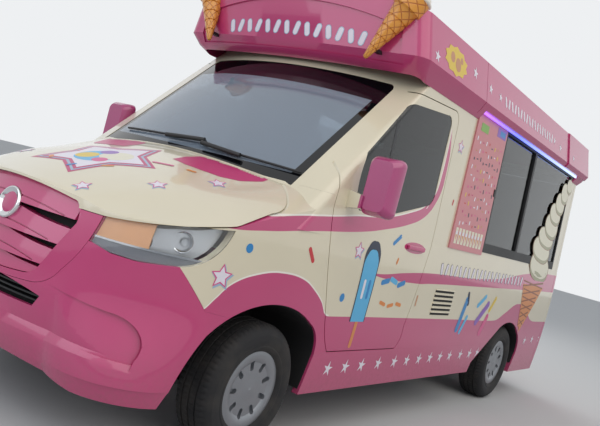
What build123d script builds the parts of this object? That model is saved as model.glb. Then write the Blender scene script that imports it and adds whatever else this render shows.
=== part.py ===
from build123d import *
import os
from math import cos, pi, radians, sin, tan

# Soft-serve ice cream van on a medium panel van, in millimetres.
# X runs forward, Y to the vehicle's left (the serving side), Z up; the origin is on the
# ground under the middle of the van. Tables give x as the distance ahead of the front axle.

# Driving dimensions
LENGTH = 5932
WHEELBASE = 3665
FRONT_OVERHANG = 1004
NOSE_X = LENGTH / 2
TAIL_X = -LENGTH / 2
AXLE_F = NOSE_X - FRONT_OVERHANG
AXLE_R = AXLE_F - WHEELBASE
TAIL_STEP = 45
BODY_TAIL = TAIL_X + TAIL_STEP
PANEL_GAP = 6
SEAT_GAP = 0.3
WALL = 42
BONNET_THICK = 28
GLASS = 6
BELT_Z = 1285
SILL_TOP_Z = 545
SILL_LOW_Z = 300
ROOF_Z = 2330
FLOOR_TOP_Z = 660
FLOOR_THICK = 40
REAR_CORNER = 110
FAR = 1400

# Wheels and steering
TYRE_RADIUS = 345
TYRE_WIDTH = 235
RIM_RADIUS = 205
HUB_RADIUS = 88
TRIM_SLOTS = 9
TRIM_SLOT_R = 128
RAIL_Z = (476, FLOOR_TOP_Z - FLOOR_THICK - SEAT_GAP)
RAIL_Y = 425
RAIL_FRONT = 845
SPRING_Y = 560
CROSS_MEMBERS_X = (700, -700, -1500, -2600, -3100, -4300, -4750)
HUB_Y = 845
HUB_FACE_INSET = 88
KINGPIN_TOP = (640, 800)
KINGPIN_LOW = (765, 250)
KINGPIN_TILT = 12.8
BALL_R = 20
BALL_GAP = 0.8
BALL_EYE_R = 29
STRUT_GAP = 12
ENGINE_Z = (480, 960)

# Body form: the lower body is lofted through level rings, cut off by the bonnet's surface in
# front and by the belt line behind. The greenhouse is lofted through rings of its own.

# z, nose x, brow x, wing x, wing y, half width
LOWER_RINGS = [
    (240, 890, 850, 400, 905, 962),
    (430, 985, 925, 410, 930, 979),
    (720, 1004, 930, 410, 940, 992),
    (1040, 962, 897, 410, 937, 990),
    (1480, 860, 800, 360, 905, 962),
]
BROW_Y = 450
DOOR_RING_X = -500

# x, crown z, crease y, crease z, shoulder y, shoulder z, outer z
BONNET_STATIONS = [
    (1060, 1095, 350, 1062, 620, 1000, 950),
    (900, 1150, 400, 1108, 640, 1055, 1015),
    (620, 1262, 550, 1210, 780, 1135, 1060),
    (200, 1395, 650, 1318, 860, 1266, 1160),
    (-50, 1470, 730, 1395, 900, 1338, 1220),
    (-400, 1560, 760, 1450, 900, 1400, 1300),
]
BONNET_REACH = 1050
COWL_X = -260

# z, half width
GREENHOUSE_RINGS = [(1200, 979), (1500, 965), (1850, 947), (2200, 929), (2450, 915)]
SCREEN_FOOT = (-144, 783, 1450)
SCREEN_RAKE = 1.06
SCREEN_BULGE = 160
PILLAR_FACE = (55, 125)
PILLAR_TURN = 65

# Outlines of openings and panels seen from the side: x, z, and the arc's middle if it curves
FRONT_ARCH = [
    (625, 200), (440, 635, 552, 455), (-320, 712, 20, 806), (-432, 520, -415, 622),
    (-395, 200),
]
REAR_ARCH = [
    (-2910, 200), (-2945, 385), (-3407, 700, -3188, 558), (-3952, 641, -3690, 742),
    (-4088, 440, -4055, 548), (-4050, 200),
]
DOOR = [
    (-562, 548), (-443, 748, -492, 640), (-268, 1345, -338, 1040), (-400, 1702, -300, 1530),
    (-785, 2080), (-950, 2164, -862, 2134), (-1490, 2196), (-1578, 2110, -1555, 2172),
    (-1578, 1300), (-1450, 700), (-1400, 548, -1440, 590),
]
DOOR_WINDOW = [
    (-480, 1420), (-500, 1700, -468, 1580), (-830, 2035), (-930, 2090, -875, 2072),
    (-1400, 2140), (-1478, 2070, -1465, 2122), (-1462, 1640), (-1380, 1520, -1440, 1555),
    (-920, 1400), (-530, 1372),
]
BUMPER = [(235, 712), (478, 745), (642, 924), (1400, 932), (1400, 0), (235, 0)]
LAMP = [(642, 924), (420, 1132, 500, 1000), (572, 1118), (866, 1056), (1400, 1040), (1400, 932)]
BONNET_SIDE = [
    (1400, 1040), (866, 1056), (572, 1118), (420, 1150), (178, 1243), (20, 1324, 92, 1276),
    (-95, 1420), (-95, 2000), (1400, 2000),
]
SILL = [(-398, SILL_LOW_Z), (-438, SILL_TOP_Z), (-3300, SILL_TOP_Z), (-3300, SILL_LOW_Z)]
HATCH = [(-2520, 1312), (-2520, 2300), (-4560, 2300), (-4560, 1312)]
OFFSIDE_WINDOW = [(-2520, 1420), (-2520, 2200), (-3900, 2200), (-3900, 1420)]
MENU = [(-1850, 1286), (-1890, 2300), (-2500, 2300), (-2500, 1286)]
HEADER_NOTCH = [(-1880, 2200), (-1880, 2303), (-4590, 2303), (-4590, 2200)]
BONNET_REAR_X = 30
BONNET_CORNER = (-95, 830)
DOOR_Y = 850
TAIL_DOOR_Y = 800
TAIL_DOOR_Z = (600, 2215)
TAIL_POST_X = 160

CAB_REAR_X = -1592
SCUTTLE_Z = 1300
SCREEN_CORNER = 45
GLASS_SINK = 3
GLASS_EDGE = 0.6
GLASS_LIFT = 2
WING_ZONE = [
    (-600, 200), (-600, 700), (-252, 1300), (-252, 1420), (700, 1420), (700, 200),
]
WING_INNER_Y = 300
COWL_SIDE_Y = 822

FLOOR_FRONT = -130.3

PANE_SINK = 12
FRAME_PROUD = 4
FRAME_WIDTH = 28
HATCH_DIVIDERS = (-3330, -3950)
OFFSIDE_DIVIDERS = (-3210,)
MENU_THICK = 12
LINER_THICK = 6
LINER_OUT_Y = 985
LINER_INSET = 14
LINER_LOW_Z = 330
LINER_FRONT_Y = 500
LINER_REAR_Y = 690
MIRROR_TILT = 0
MIRROR_CENTRE = (-440, 1120, 1525)
MIRROR_SIZE = (95, 200, 330)
STEERING_WHEEL_R = 195
COLUMN_RAKE = 49
FIX_GAP = 0.5
HINGE_PADS_Z = ((900, 1000), (1150, 1240))
HINGE_PAD_Y = 968
BONNET_PAD_Y = (560, 640)
TOW_HOLES_X = (-4540, -4660)
TOW_HOLE_R = 6.5
TOW_HOLE_DEPTH = 60
TAIL_PADS_Z = ((700, 780), (1400, 1480), (2040, 2120))
FIREWALL_X = (-130, -100)

# Header rings: z, front x, half width, rear x ahead of the front axle
HEADER_RINGS = [
    (2235, -905, 930, -4880),
    (2275, -822, 962, -4895),
    (2345, -765, 1000, -4912),
    (2600, -745, 940, -4898),
    (2760, -735, 915, -4890),
]
HEADER_BULGE = 75
HEADER_CORNER = 90
HEADER_WALL = 22
CROWN_EDGE_Z = 2590
CROWN_TOP_Z = 2700
CONE_FOOT = (-655, 655, 2268)
CONE_LENGTH = 370
CONE_CUP = 95
CONE_TIP_R = 16
CONE_R = 82
CONE_CUP_R = 104
SCOOP_R = 100
SCOOP_H = 190
CONE_LEAN_OUT = 24
CONE_LEAN_BACK = 12

# Outlines seen from the front: y, z
SCREEN = [(-784, 1340), (784, 1340), (772, 2185), (-772, 2185, 0, 2205)]
GRILLE_SIDE = [(548, 1064), (355, 705)]

os.makedirs("parts", exist_ok=True)


def ahead(x):
    """X in the part's frame of a place given ahead of the front axle."""
    return AXLE_F + x


def closed_face(path):
    """Face from corners (u, v), or (u, v, um, vm) where an arc through (um, vm) leads there."""
    edges = []
    for here, there in zip(path, path[1:] + path[:1]):
        if len(there) == 4:
            edges.append(ThreePointArc(here[:2], there[2:], there[:2]))
        else:
            edges.append(Line(here[:2], there[:2]))
    return make_face(edges)


def side_prism(face, y_from, y_to):
    """Sweep an outline drawn in (x, z) across the van, from y_from to y_to."""
    plane = Plane(origin=(0, y_from, 0), x_dir=(1, 0, 0), z_dir=(0, -1, 0))
    return extrude(plane * face, amount=-(y_to - y_from))


def end_prism(face, x_from, x_to):
    """Sweep an outline drawn in (y, z) along the van, from x_from to x_to."""
    plane = Plane(origin=(x_from, 0, 0), x_dir=(0, 1, 0), z_dir=(1, 0, 0))
    return extrude(plane * face, amount=x_to - x_from)


def block(x0, x1, y0, y1, z0, z1):
    """Box between two corners."""
    return Pos((x0 + x1) / 2, (y0 + y1) / 2, (z0 + z1) / 2) * Box(
        abs(x1 - x0), abs(y1 - y0), abs(z1 - z0))


def mirrored(solid):
    """The same piece on the other side of the van."""
    return mirror(solid, about=Plane.XZ)


def side_region(outline, grow=0, y_from=0, y_to=FAR):
    """Prism across one side from an outline drawn in (x ahead of the front axle, z)."""
    face = closed_face([tuple(ahead(v) if i % 2 == 0 else v for i, v in enumerate(p))
                        for p in outline])
    if grow:
        face = offset(face, grow, kind=Kind.ARC)
    return side_prism(face, y_from, y_to)


def lower_ring(z, nose, brow, wing_x, wing_y, half, inset):
    """Level outline of the lower body at one height."""
    nose_p = (ahead(nose) - inset, 0)
    brow_p = (ahead(brow) - inset, BROW_Y - 0.3 * inset)
    wing_p = (ahead(wing_x), wing_y - inset)
    door_p = (ahead(DOOR_RING_X), half - inset)
    tail_side, tail_mid, tail_end = tail_corner(half - inset, inset)
    side = TangentArc(door_p, wing_p, tangent=(1, 0))
    side_r = TangentArc(flip(door_p), flip(wing_p), tangent=(1, 0))
    edges = [
        side, TangentArc(wing_p, brow_p, tangent=side % 1),
        ThreePointArc(brow_p, nose_p, flip(brow_p)),
        TangentArc(flip(wing_p), flip(brow_p), tangent=side_r % 1), side_r,
        Line(flip(door_p), flip(tail_side)),
        ThreePointArc(flip(tail_side), flip(tail_mid), flip(tail_end)),
        Line(flip(tail_end), tail_end),
        ThreePointArc(tail_end, tail_mid, tail_side), Line(tail_side, door_p),
    ]
    return Plane.XY.offset(z) * make_face(edges)


def flip(p):
    """The point on the other side of the van."""
    return (p[0], -p[1])


def tail_corner(wide, inset):
    """Start, middle and end of the rear corner's arc in plan."""
    tail = BODY_TAIL + inset
    corner = REAR_CORNER - 0.5 * inset
    turn = corner * (1 - cos(pi / 4))
    return (tail + corner, wide), (tail + turn, wide - turn), (tail, wide - corner)


def screen_ring(z, half, inset):
    """Level outline of the greenhouse at one height: screen, pillars, sides and back."""
    foot_x, foot_y, foot_z = SCREEN_FOOT
    glass_p = (ahead(foot_x) + SCREEN_RAKE * (foot_z - z) - 1.4 * inset, foot_y - 0.3 * inset)
    nose_p = (glass_p[0] + SCREEN_BULGE, 0)
    pillar_p = (glass_p[0] - PILLAR_FACE[0], glass_p[1] + PILLAR_FACE[1] - 0.55 * inset)
    wide = half - inset
    side_p = (pillar_p[0] - (wide - pillar_p[1]) / tan(radians(PILLAR_TURN / 2)), wide)
    tail_side, tail_mid, tail_end = tail_corner(wide, inset)
    edges = [
        TangentArc(side_p, pillar_p, tangent=(1, 0)), Line(pillar_p, glass_p),
        ThreePointArc(glass_p, nose_p, flip(glass_p)), Line(flip(glass_p), flip(pillar_p)),
        TangentArc(flip(side_p), flip(pillar_p), tangent=(1, 0)),
        Line(flip(side_p), flip(tail_side)),
        ThreePointArc(flip(tail_side), flip(tail_mid), flip(tail_end)),
        Line(flip(tail_end), tail_end),
        ThreePointArc(tail_end, tail_mid, tail_side), Line(tail_side, side_p),
    ]
    return Plane.XY.offset(z) * make_face(edges)


def over_bonnet(inset):
    """Everything above the bonnet's surface, ahead of the cowl."""
    low = 1.1 * inset
    sections = []
    for x, crown, crease_y, crease_z, shoulder_y, shoulder_z, outer in BONNET_STATIONS:
        path = [
            (-BONNET_REACH, outer - low),
            (-crease_y, crease_z - low, -shoulder_y, shoulder_z - low),
            (crease_y, crease_z - low, 0, crown - low),
            (BONNET_REACH, outer - low, shoulder_y, shoulder_z - low),
            (BONNET_REACH, 2 * FAR), (-BONNET_REACH, 2 * FAR),
        ]
        plane = Plane(origin=(ahead(x), 0, 0), x_dir=(0, 1, 0), z_dir=(1, 0, 0))
        sections.append(plane * closed_face(path))
    return loft(sections) & block(ahead(COWL_X), NOSE_X + FAR, -FAR, FAR, 0, 2 * FAR)


def lower_form(inset, bonnet_inset):
    """Lower body with its bonnet, drawn in by inset."""
    form = loft([lower_ring(*row, inset) for row in LOWER_RINGS])
    form = form - over_bonnet(bonnet_inset)
    return form - block(2 * TAIL_X, ahead(COWL_X), -FAR, FAR, BELT_Z, 2 * FAR)


def greenhouse(inset, roof=ROOF_Z):
    """Greenhouse from under the belt up to its roof, drawn in by inset."""
    form = loft([screen_ring(*row, inset) for row in GREENHOUSE_RINGS])
    return form & block(2 * TAIL_X, 2 * NOSE_X, -FAR, FAR, 0, roof)


def grille_region(grow, x_from):
    """Prism of the grille seen from the front, its top following the bonnet."""
    (top_y, top_z), (low_y, low_z) = GRILLE_SIDE
    face = closed_face([(-low_y, low_z), (low_y, low_z), (top_y, top_z), (top_y, 1300),
                        (-top_y, 1300), (-top_y, top_z)])
    if grow:
        face = offset(face, grow, kind=Kind.ARC)
    return end_prism(face, ahead(x_from), NOSE_X + FAR)


def header_ring(z, front, half, rear, inset):
    """Level outline of the header at one height, its front bowed in plan."""
    wide = half - inset
    front_x = ahead(front) - inset
    rear_x = ahead(rear) + inset
    corner = HEADER_CORNER - 0.5 * inset
    turn = corner * (1 - cos(pi / 4))
    bow = (front_x + HEADER_BULGE, 0)
    path = [
        (front_x, wide - corner), (front_x - corner, wide, front_x - turn, wide - turn),
        (rear_x + corner, wide), (rear_x, wide - corner, rear_x + turn, wide - turn),
        (rear_x, corner - wide), (rear_x + corner, -wide, rear_x + turn, turn - wide),
        (front_x - corner, -wide), (front_x, corner - wide, front_x - turn, turn - wide),
    ]
    path[0] = (front_x, wide - corner, *bow)
    return Plane.XY.offset(z) * closed_face(path)


def roof_crown(inset):
    """Everything under the crowned roof of the header."""
    edge, top = CROWN_EDGE_Z - inset, CROWN_TOP_Z - inset
    face = closed_face([(-FAR, 0), (FAR, 0), (FAR, edge - 60), (-FAR, edge - 60, 0, top)])
    return end_prism(face, TAIL_X, NOSE_X)


def both_sides(region_of, *args):
    """Union of a side region and its mirror image."""
    near = region_of(*args)
    return near + mirrored(near)


def bonnet_region(grow):
    """Region of the bonnet: its edge seen from the side, its rear edge an arc in plan."""
    side = side_region(BONNET_SIDE, grow, -FAR, FAR)
    corner_x, corner_y = BONNET_CORNER
    plan = closed_face([
        (NOSE_X + FAR, -FAR), (NOSE_X + FAR, FAR), (ahead(corner_x) - grow, FAR),
        (ahead(corner_x) - grow, corner_y),
        (ahead(corner_x) - grow, -corner_y, ahead(BONNET_REAR_X) - grow, 0),
        (ahead(corner_x) - grow, -FAR),
    ])
    return side & plan_prism(plan, 0, 2 * FAR)


def wing_region(grow):
    """Region of the left wing: the side ahead of the door, outboard of the cowl."""
    zone = side_region(WING_ZONE, grow, WING_INNER_Y)
    corner_x = ahead(BONNET_CORNER[0])
    return zone - block(ahead(-700), corner_x, 0, COWL_SIDE_Y - grow, 0, 2 * FAR)


def plan_prism(face, z_from, z_to):
    """Sweep an outline drawn in (x, y) upwards."""
    return extrude(Plane.XY.offset(z_from) * face, amount=z_to - z_from)



def wheel():
    """Tyre and rim of a left wheel about its own centre, the trim facing outwards."""
    half = TYRE_WIDTH / 2
    wall_r = (RIM_RADIUS + TYRE_RADIUS) / 2
    tyre_path = [
        (RIM_RADIUS, 22 - half), (RIM_RADIUS + 16, 8 - half), (wall_r, -half),
        (TYRE_RADIUS - 34, 8 - half), (TYRE_RADIUS - 10, 28 - half), (TYRE_RADIUS, 52 - half),
        (TYRE_RADIUS, half - 52), (TYRE_RADIUS - 10, half - 28), (TYRE_RADIUS - 34, half - 8),
        (wall_r, half), (RIM_RADIUS + 16, half - 8), (RIM_RADIUS, half - 22),
    ]
    tyre = revolve(Plane.XY * closed_face(tyre_path), Axis.Y)
    seat = RIM_RADIUS - SEAT_GAP
    back = half - HUB_FACE_INSET
    rim_path = [
        (0, back), (HUB_RADIUS, back), (HUB_RADIUS + 20, back + 24), (seat - 30, back + 10),
        (seat - 16, 22 - half), (seat, 22 - half), (seat, half - 22), (seat - 14, half - 20),
        (RIM_RADIUS - 62, half - 32, RIM_RADIUS - 40, half - 22), (58, half - 30), (0, half - 26),
    ]
    rim = revolve(Plane.XY * closed_face(rim_path), Axis.Y)
    slot = Pos(0, half - 30, 0) * Rot(90, 0, 0) * extrude(
        Pos(TRIM_SLOT_R, 0) * SlotOverall(56, 27), amount=22, both=True)
    for i in range(TRIM_SLOTS):
        rim = rim - Rot(0, 360 / TRIM_SLOTS * i, 0) * slot
    return tyre, rim


def knuckle_solid():
    """Left steering knuckle: hub, brake disc, upright, ball pin, strut and steering arm."""
    hub_face = HUB_Y + TYRE_WIDTH / 2 - HUB_FACE_INSET - SEAT_GAP
    axle_line = Pos(AXLE_F, hub_face, TYRE_RADIUS) * Rot(90, 0, 0)
    low_y, low_z = KINGPIN_LOW
    top_y, top_z = KINGPIN_TOP
    hub = axle_line * Pos(0, 0, 50) * Cylinder(70, 100)
    disc = axle_line * Pos(0, 0, 61) * Cylinder(150, 26)
    upright = side_prism(closed_face([
        (AXLE_F - 45, 292), (AXLE_F + 45, 292), (AXLE_F + 80, TYRE_RADIUS),
        (AXLE_F + 42, 500), (AXLE_F - 42, 500), (AXLE_F - 80, TYRE_RADIUS),
    ]), hub_face - 140, hub_face - 95)
    web = block(AXLE_F - 34, AXLE_F + 34, top_y + 10, hub_face - 100, 430, 500)
    strut = Pos(AXLE_F, top_y + 30, (430 + top_z - STRUT_GAP) / 2) * Cylinder(
        34, top_z - STRUT_GAP - 430)
    spring = Pos(AXLE_F, top_y + 30, top_z - STRUT_GAP - 75) * Cylinder(62, 110)
    arm = block(AXLE_F - 155, AXLE_F, hub_face - 170, hub_face - 125, 300, 335)
    pin_line = Pos(AXLE_F, low_y, low_z) * Rot(KINGPIN_TILT, 0, 0)
    ball = Pos(AXLE_F, low_y, low_z) * Sphere(BALL_R)
    pin = pin_line * Pos(0, 0, 32) * Cylinder(11, 64)
    return hub + disc + upright + web + strut + spring + arm + ball + pin


def front_subframe():
    """Front cross-member with its two lower arms, their ball eyes and the engine mounts."""
    low_y, low_z = KINGPIN_LOW
    beam = block(AXLE_F - 120, AXLE_F + 120, -420, 420, 330, 400)
    arm = closed_face([(AXLE_F - 170, 380), (AXLE_F + 170, 380), (AXLE_F + BALL_EYE_R, low_y),
                       (AXLE_F - BALL_EYE_R, low_y, AXLE_F, low_y + BALL_EYE_R)])
    arm = plan_prism(arm, low_z - 12, low_z + 12)
    arm = arm - Pos(AXLE_F, low_y, low_z) * Cylinder(BALL_R + BALL_GAP, 60)
    left = arm + block(AXLE_F - 110, AXLE_F + 110, 360, 420, low_z - 12, 340)
    frame = beam + left + mirrored(left)
    for side in (1, -1):
        frame = frame + block(AXLE_F - 90, AXLE_F + 90, side * RAIL_Y - 35, side * RAIL_Y + 35,
                              395, RAIL_Z[0] - SEAT_GAP)
        frame = frame + block(ahead(65), ahead(118), side * 160 - 40, side * 160 + 40,
                              395, ENGINE_Z[0] - SEAT_GAP)
    return frame


def rear_axle():
    """Live rear axle with its differential, drums, leaf springs and propshaft."""
    reach = HUB_Y + TYRE_WIDTH / 2 - HUB_FACE_INSET - SEAT_GAP
    centre = Pos(AXLE_R, 0, TYRE_RADIUS)
    tube = centre * Rot(90, 0, 0) * Cylinder(48, 2 * reach)
    pumpkin = centre * Sphere(145)
    body = tube + pumpkin
    for side in (1, -1):
        drum = Pos(AXLE_R, side * (reach - 45), TYRE_RADIUS) * Rot(90, 0, 0) * Cylinder(140, 70)
        leaf = side_prism(closed_face([
            (AXLE_R - 640, 440), (AXLE_R + 640, 440, AXLE_R, TYRE_RADIUS - 95),
            (AXLE_R + 640, 468), (AXLE_R - 640, 468, AXLE_R, TYRE_RADIUS - 45),
        ]), side * SPRING_Y - 35, side * SPRING_Y + 35)
        saddle = block(AXLE_R - 55, AXLE_R + 55, side * SPRING_Y - 42, side * SPRING_Y + 42,
                       TYRE_RADIUS - 105, TYRE_RADIUS + 55)
        body = body + drum + leaf + saddle
        for end in (-620, 620):
            body = body + block(AXLE_R + end - 18, AXLE_R + end + 18, side * RAIL_Y - 10,
                                side * SPRING_Y + 35, 440, 475)
            body = body + block(AXLE_R + end - 18, AXLE_R + end + 18, side * RAIL_Y - 10,
                                side * RAIL_Y + 30, 440, RAIL_Z[0] - SEAT_GAP)
    shaft_x = (AXLE_R + 130, ahead(-150))
    shaft = Pos((shaft_x[0] + shaft_x[1]) / 2, 0, TYRE_RADIUS) * Rot(0, 90, 0) * Cylinder(
        38, shaft_x[1] - shaft_x[0])
    return body + shaft


def chassis_frame():
    """Two rails under the floor joined by cross-members."""
    low, high = RAIL_Z
    frame = None
    for side in (1, -1):
        rail = block(BODY_TAIL + WALL + SEAT_GAP, ahead(RAIL_FRONT), side * RAIL_Y - 40,
                     side * RAIL_Y + 40, low, high)
        frame = rail if frame is None else frame + rail
    for x in CROSS_MEMBERS_X:
        frame = frame + block(ahead(x) - 45, ahead(x) + 45, -RAIL_Y, RAIL_Y, low + 30, high - 20)
    for x in TOW_HOLES_X:
        for side in (1, -1):
            hole = Pos(ahead(x), side * RAIL_Y, low) * Cylinder(TOW_HOLE_R, 2 * TOW_HOLE_DEPTH)
            frame = frame - hole
    return frame


def exhaust():
    """Exhaust pipe on the left, with its silencer, ending ahead of the rear wheel."""
    line = FilletPolyline((ahead(-140), 300, 420), (ahead(-500), 300, 420), (ahead(-700), 200, 400),
                          (ahead(-2400), 200, 400), (ahead(-2550), 330, 400),
                          (ahead(-2550), 900, 330), radius=80)
    pipe = sweep(Plane(origin=line @ 0, z_dir=line % 0) * Circle(30), path=line)
    box = Pos(ahead(-1700), 200, 400) * Rot(0, 90, 0) * Cylinder(85, 600)
    hangers = [block(ahead(x) - 12, ahead(x) + 12, 194, 206, 400,
                     FLOOR_TOP_Z - FLOOR_THICK - SEAT_GAP) for x in (-1200, -1700, -2200)]
    return pipe + box + hangers[0] + hangers[1] + hangers[2]


def dashboard():
    """Dashboard with the binnacle, column and steering wheel on the driver's side."""
    dash_x = ahead(FIREWALL_X[0]) - SEAT_GAP
    face = closed_face([
        (dash_x, 950), (dash_x, 1330), (ahead(-330), 1345), (ahead(-520), 1270),
        (ahead(-560), 1080), (ahead(-420), 900),
    ])
    body = side_prism(face, -880, 880)
    centre = (ahead(-760), -430, 1190)
    tilted = Pos(*centre) * Rot(0, -COLUMN_RAKE, 0)
    spokes = Box(2 * STEERING_WHEEL_R, 40, 18) + Pos(0, 0, 0) * Box(40, 2 * STEERING_WHEEL_R, 18)
    wheel = tilted * (Torus(STEERING_WHEEL_R, 16) + Cylinder(55, 34) + spokes)
    column = tilted * Pos(0, 0, -190) * Cylinder(32, 380)
    return body + wheel + column


def seat(y):
    """One cab seat on its plinth."""
    plinth = block(ahead(-1380), ahead(-950), y - 220, y + 220, FLOOR_TOP_Z, 930)
    cushion = fillet(block(ahead(-1420), ahead(-900), y - 250, y + 250, 930, 1060).edges(), 45)
    back = closed_face([(ahead(-1300), 1060), (ahead(-1440), 1060), (ahead(-1560), 1640),
                        (ahead(-1470), 1650)])
    back = fillet(side_prism(back, y - 245, y + 245).edges(), 30)
    rest = closed_face([(ahead(-1475), 1665), (ahead(-1560), 1665), (ahead(-1580), 1850),
                        (ahead(-1500), 1850)])
    rest = fillet(side_prism(rest, y - 130, y + 130).edges(), 25)
    stems = block(ahead(-1535), ahead(-1505), y - 80, y + 80, 1600, 1700)
    return plinth + cushion + back + rest + stems


def counter():
    """Worktops along both walls behind the cab, joined across by the low bulkhead."""
    left = block(ahead(-2450), ahead(-4650), 520, 905, FLOOR_TOP_Z, 1210)
    left = left + block(ahead(-2430), ahead(-4670), 500, 910, 1210, 1240)
    right = block(ahead(-1900), ahead(-4650), -900, -520, FLOOR_TOP_Z, 1180)
    bulkhead = block(ahead(-1800), ahead(-1770), -900, -300, FLOOR_TOP_Z, 1900)
    bulkhead = bulkhead + block(ahead(-1800), ahead(-1770), 300, 900, FLOOR_TOP_Z, 1900)
    bay = side_region(REAR_ARCH, SEAT_GAP, LINER_REAR_Y - SEAT_GAP)
    return Compound(children=[left - bay, right - mirrored(bay), *bulkhead.solids()])


def machine():
    """Soft-serve machine standing on the offside worktop."""
    body = fillet(block(ahead(-2300), ahead(-2850), -895, -330, 1180, 1900).edges(), 18)
    door = block(ahead(-2380), ahead(-2770), -330, -270, 1400, 1700)
    nozzle = Pos(ahead(-2575), -250, 1420) * Cylinder(28, 90)
    return body + door + nozzle


def mirror_place():
    x, y, z = MIRROR_CENTRE
    return ahead(x), y, z


def mirror_head():
    """Mirror housing: a rounded block that tapers to its front."""
    depth, width, height = MIRROR_SIZE
    back = Plane.YZ.offset(-depth / 2) * RectangleRounded(width, height, 38)
    mid = Plane.YZ.offset(0) * RectangleRounded(width - 8, height - 8, 38)
    front = Plane.YZ.offset(depth / 2) * RectangleRounded(width - 60, height - 50, 38)
    return loft([back, mid, front])


def mirror_arm():
    """Arm from the door's corner to the mirror."""
    x, y, z = MIRROR_CENTRE
    low = z - MIRROR_SIZE[2] / 2 + 20
    path = closed_face([(930, low - 15), (y - 60, low + 5), (y - 60, low + 75), (930, low + 95)])
    return end_prism(path, ahead(x) - 5, ahead(x) + 60)


def low_or_green_inside():
    """Room inside the cab, clear of the skin."""
    return lower_form(WALL + SEAT_GAP, WALL) + greenhouse(WALL + SEAT_GAP, ROOF_Z - WALL)


HALF_GAP = PANEL_GAP / 2
pieces = {}

# Skin of the whole body: outer form less inner form, with the wheel arches and sills open
low_outer = lower_form(0, 0)
low_inner = lower_form(WALL, BONNET_THICK)
green_outer = greenhouse(0)
green_inner = greenhouse(WALL, ROOF_Z - WALL)
skin = (low_outer + green_outer) - (low_inner + green_inner)
skin = skin - both_sides(side_region, FRONT_ARCH) - both_sides(side_region, REAR_ARCH)
sill_skin = skin & side_region(SILL)
skin = skin - block(ahead(-3300), ahead(-350), -FAR, FAR, 0, SILL_TOP_Z + SEAT_GAP)
pieces["sill_skirts"] = Compound(children=[*sill_skin.solids(), *mirrored(sill_skin).solids()])

# Nose: bonnet, bumper, grille, headlamps, wings and scuttle
nose_skin = skin & block(ahead(-600), NOSE_X + 10, -FAR, FAR, 0, 2 * FAR)
pieces["bonnet"] = nose_skin & bonnet_region(-HALF_GAP)
front_end = nose_skin - bonnet_region(HALF_GAP)
grille_out = grille_region(FIX_GAP, 600)
pieces["bumper_front"] = (front_end & side_region(BUMPER, 0, -FAR, FAR)) - grille_out
pieces["grille"] = front_end & grille_region(0, 600)
lamps = (front_end & side_region(LAMP, -FIX_GAP, -FAR, FAR)) - grille_out
pieces["headlamps"] = lamps
wings = front_end - side_region(BUMPER, FIX_GAP, -FAR, FAR)
wings = wings - side_region(LAMP, 0, -FAR, FAR) - grille_out
door_out = side_region(DOOR, HALF_GAP, DOOR_Y)
fender = (wings & wing_region(0)) - door_out
fender = fender.solids().sort_by(SortBy.VOLUME)[-1]
hinge_strip = (skin & side_region(DOOR, HALF_GAP + 1, DOOR_Y)) - side_region(
    DOOR, SEAT_GAP - HALF_GAP, DOOR_Y)
for low, high in HINGE_PADS_Z:
    pad_room = block(ahead(-600), ahead(0), DOOR_Y, HINGE_PAD_Y, low, high)
    fender = fender + (hinge_strip & pad_room)
pieces["fender_left"] = fender
pieces["fender_right"] = mirrored(fender)


# Cab front: scuttle, screen pillars, door head rails and roof of the cab, with the screen cut
screen_face = closed_face(SCREEN)
screen_hole = end_prism(fillet(screen_face.vertices(), SCREEN_CORNER), ahead(-1200), ahead(300))
screen_hole = screen_hole - lower_form(-GLASS_LIFT, -GLASS_LIFT)
screen_pane = end_prism(fillet(offset(screen_face, -GLASS_EDGE, kind=Kind.ARC).vertices(),
                               SCREEN_CORNER), ahead(-1200), ahead(300))
screen_pane = screen_pane - lower_form(-GLASS_LIFT - GLASS_EDGE, -GLASS_LIFT - GLASS_EDGE)
cab = skin & block(ahead(CAB_REAR_X), ahead(400), -FAR, FAR, SILL_TOP_Z, 2 * FAR)
cab = cab - bonnet_region(HALF_GAP) - both_sides(side_region, BUMPER, HALF_GAP)
cab = cab - door_out - mirrored(door_out) - both_sides(wing_region, FIX_GAP)
cab = cab - block(ahead(-100), ahead(-1200), -700, 700, 0, SCUTTLE_Z)
cab = cab.solids().sort_by(SortBy.VOLUME)[-1]
firewall = block(*[ahead(x) for x in FIREWALL_X], -FAR, FAR, FLOOR_TOP_Z - FLOOR_THICK, 2 * FAR)
firewall = firewall & lower_form(WALL + 6, 12)
firewall = firewall - both_sides(side_region, FRONT_ARCH, SEAT_GAP, LINER_FRONT_Y - SEAT_GAP)
firewall = firewall - both_sides(wing_region, FIX_GAP)
cab = cab + firewall
bonnet_strip = skin & (bonnet_region(HALF_GAP + 1) - bonnet_region(SEAT_GAP - HALF_GAP))
bonnet_pad = bonnet_strip & block(ahead(-120), ahead(0), *BONNET_PAD_Y, SCUTTLE_Z, 2 * FAR)
cab = cab + bonnet_pad + mirrored(bonnet_pad)
pieces["cab_shell"] = (cab - screen_hole).solids().sort_by(SortBy.VOLUME)[-1]
glass_skin = greenhouse(GLASS_SINK) - greenhouse(GLASS_SINK + GLASS)
pane = glass_skin & screen_pane
pieces["windscreen"] = pane - both_sides(wing_region, FIX_GAP)

# Doors with their window glass
door_skin = skin & side_region(DOOR, -HALF_GAP, DOOR_Y)
window_hole = side_region(DOOR_WINDOW, 0, DOOR_Y)
door = (door_skin - window_hole).solids().sort_by(SortBy.VOLUME)[-1]
glass = glass_skin & side_region(DOOR_WINDOW, -GLASS_EDGE, DOOR_Y)
pieces["door_left"], pieces["door_right"] = door, mirrored(door)
pieces["door_glass_left"], pieces["door_glass_right"] = glass, mirrored(glass)

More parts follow.
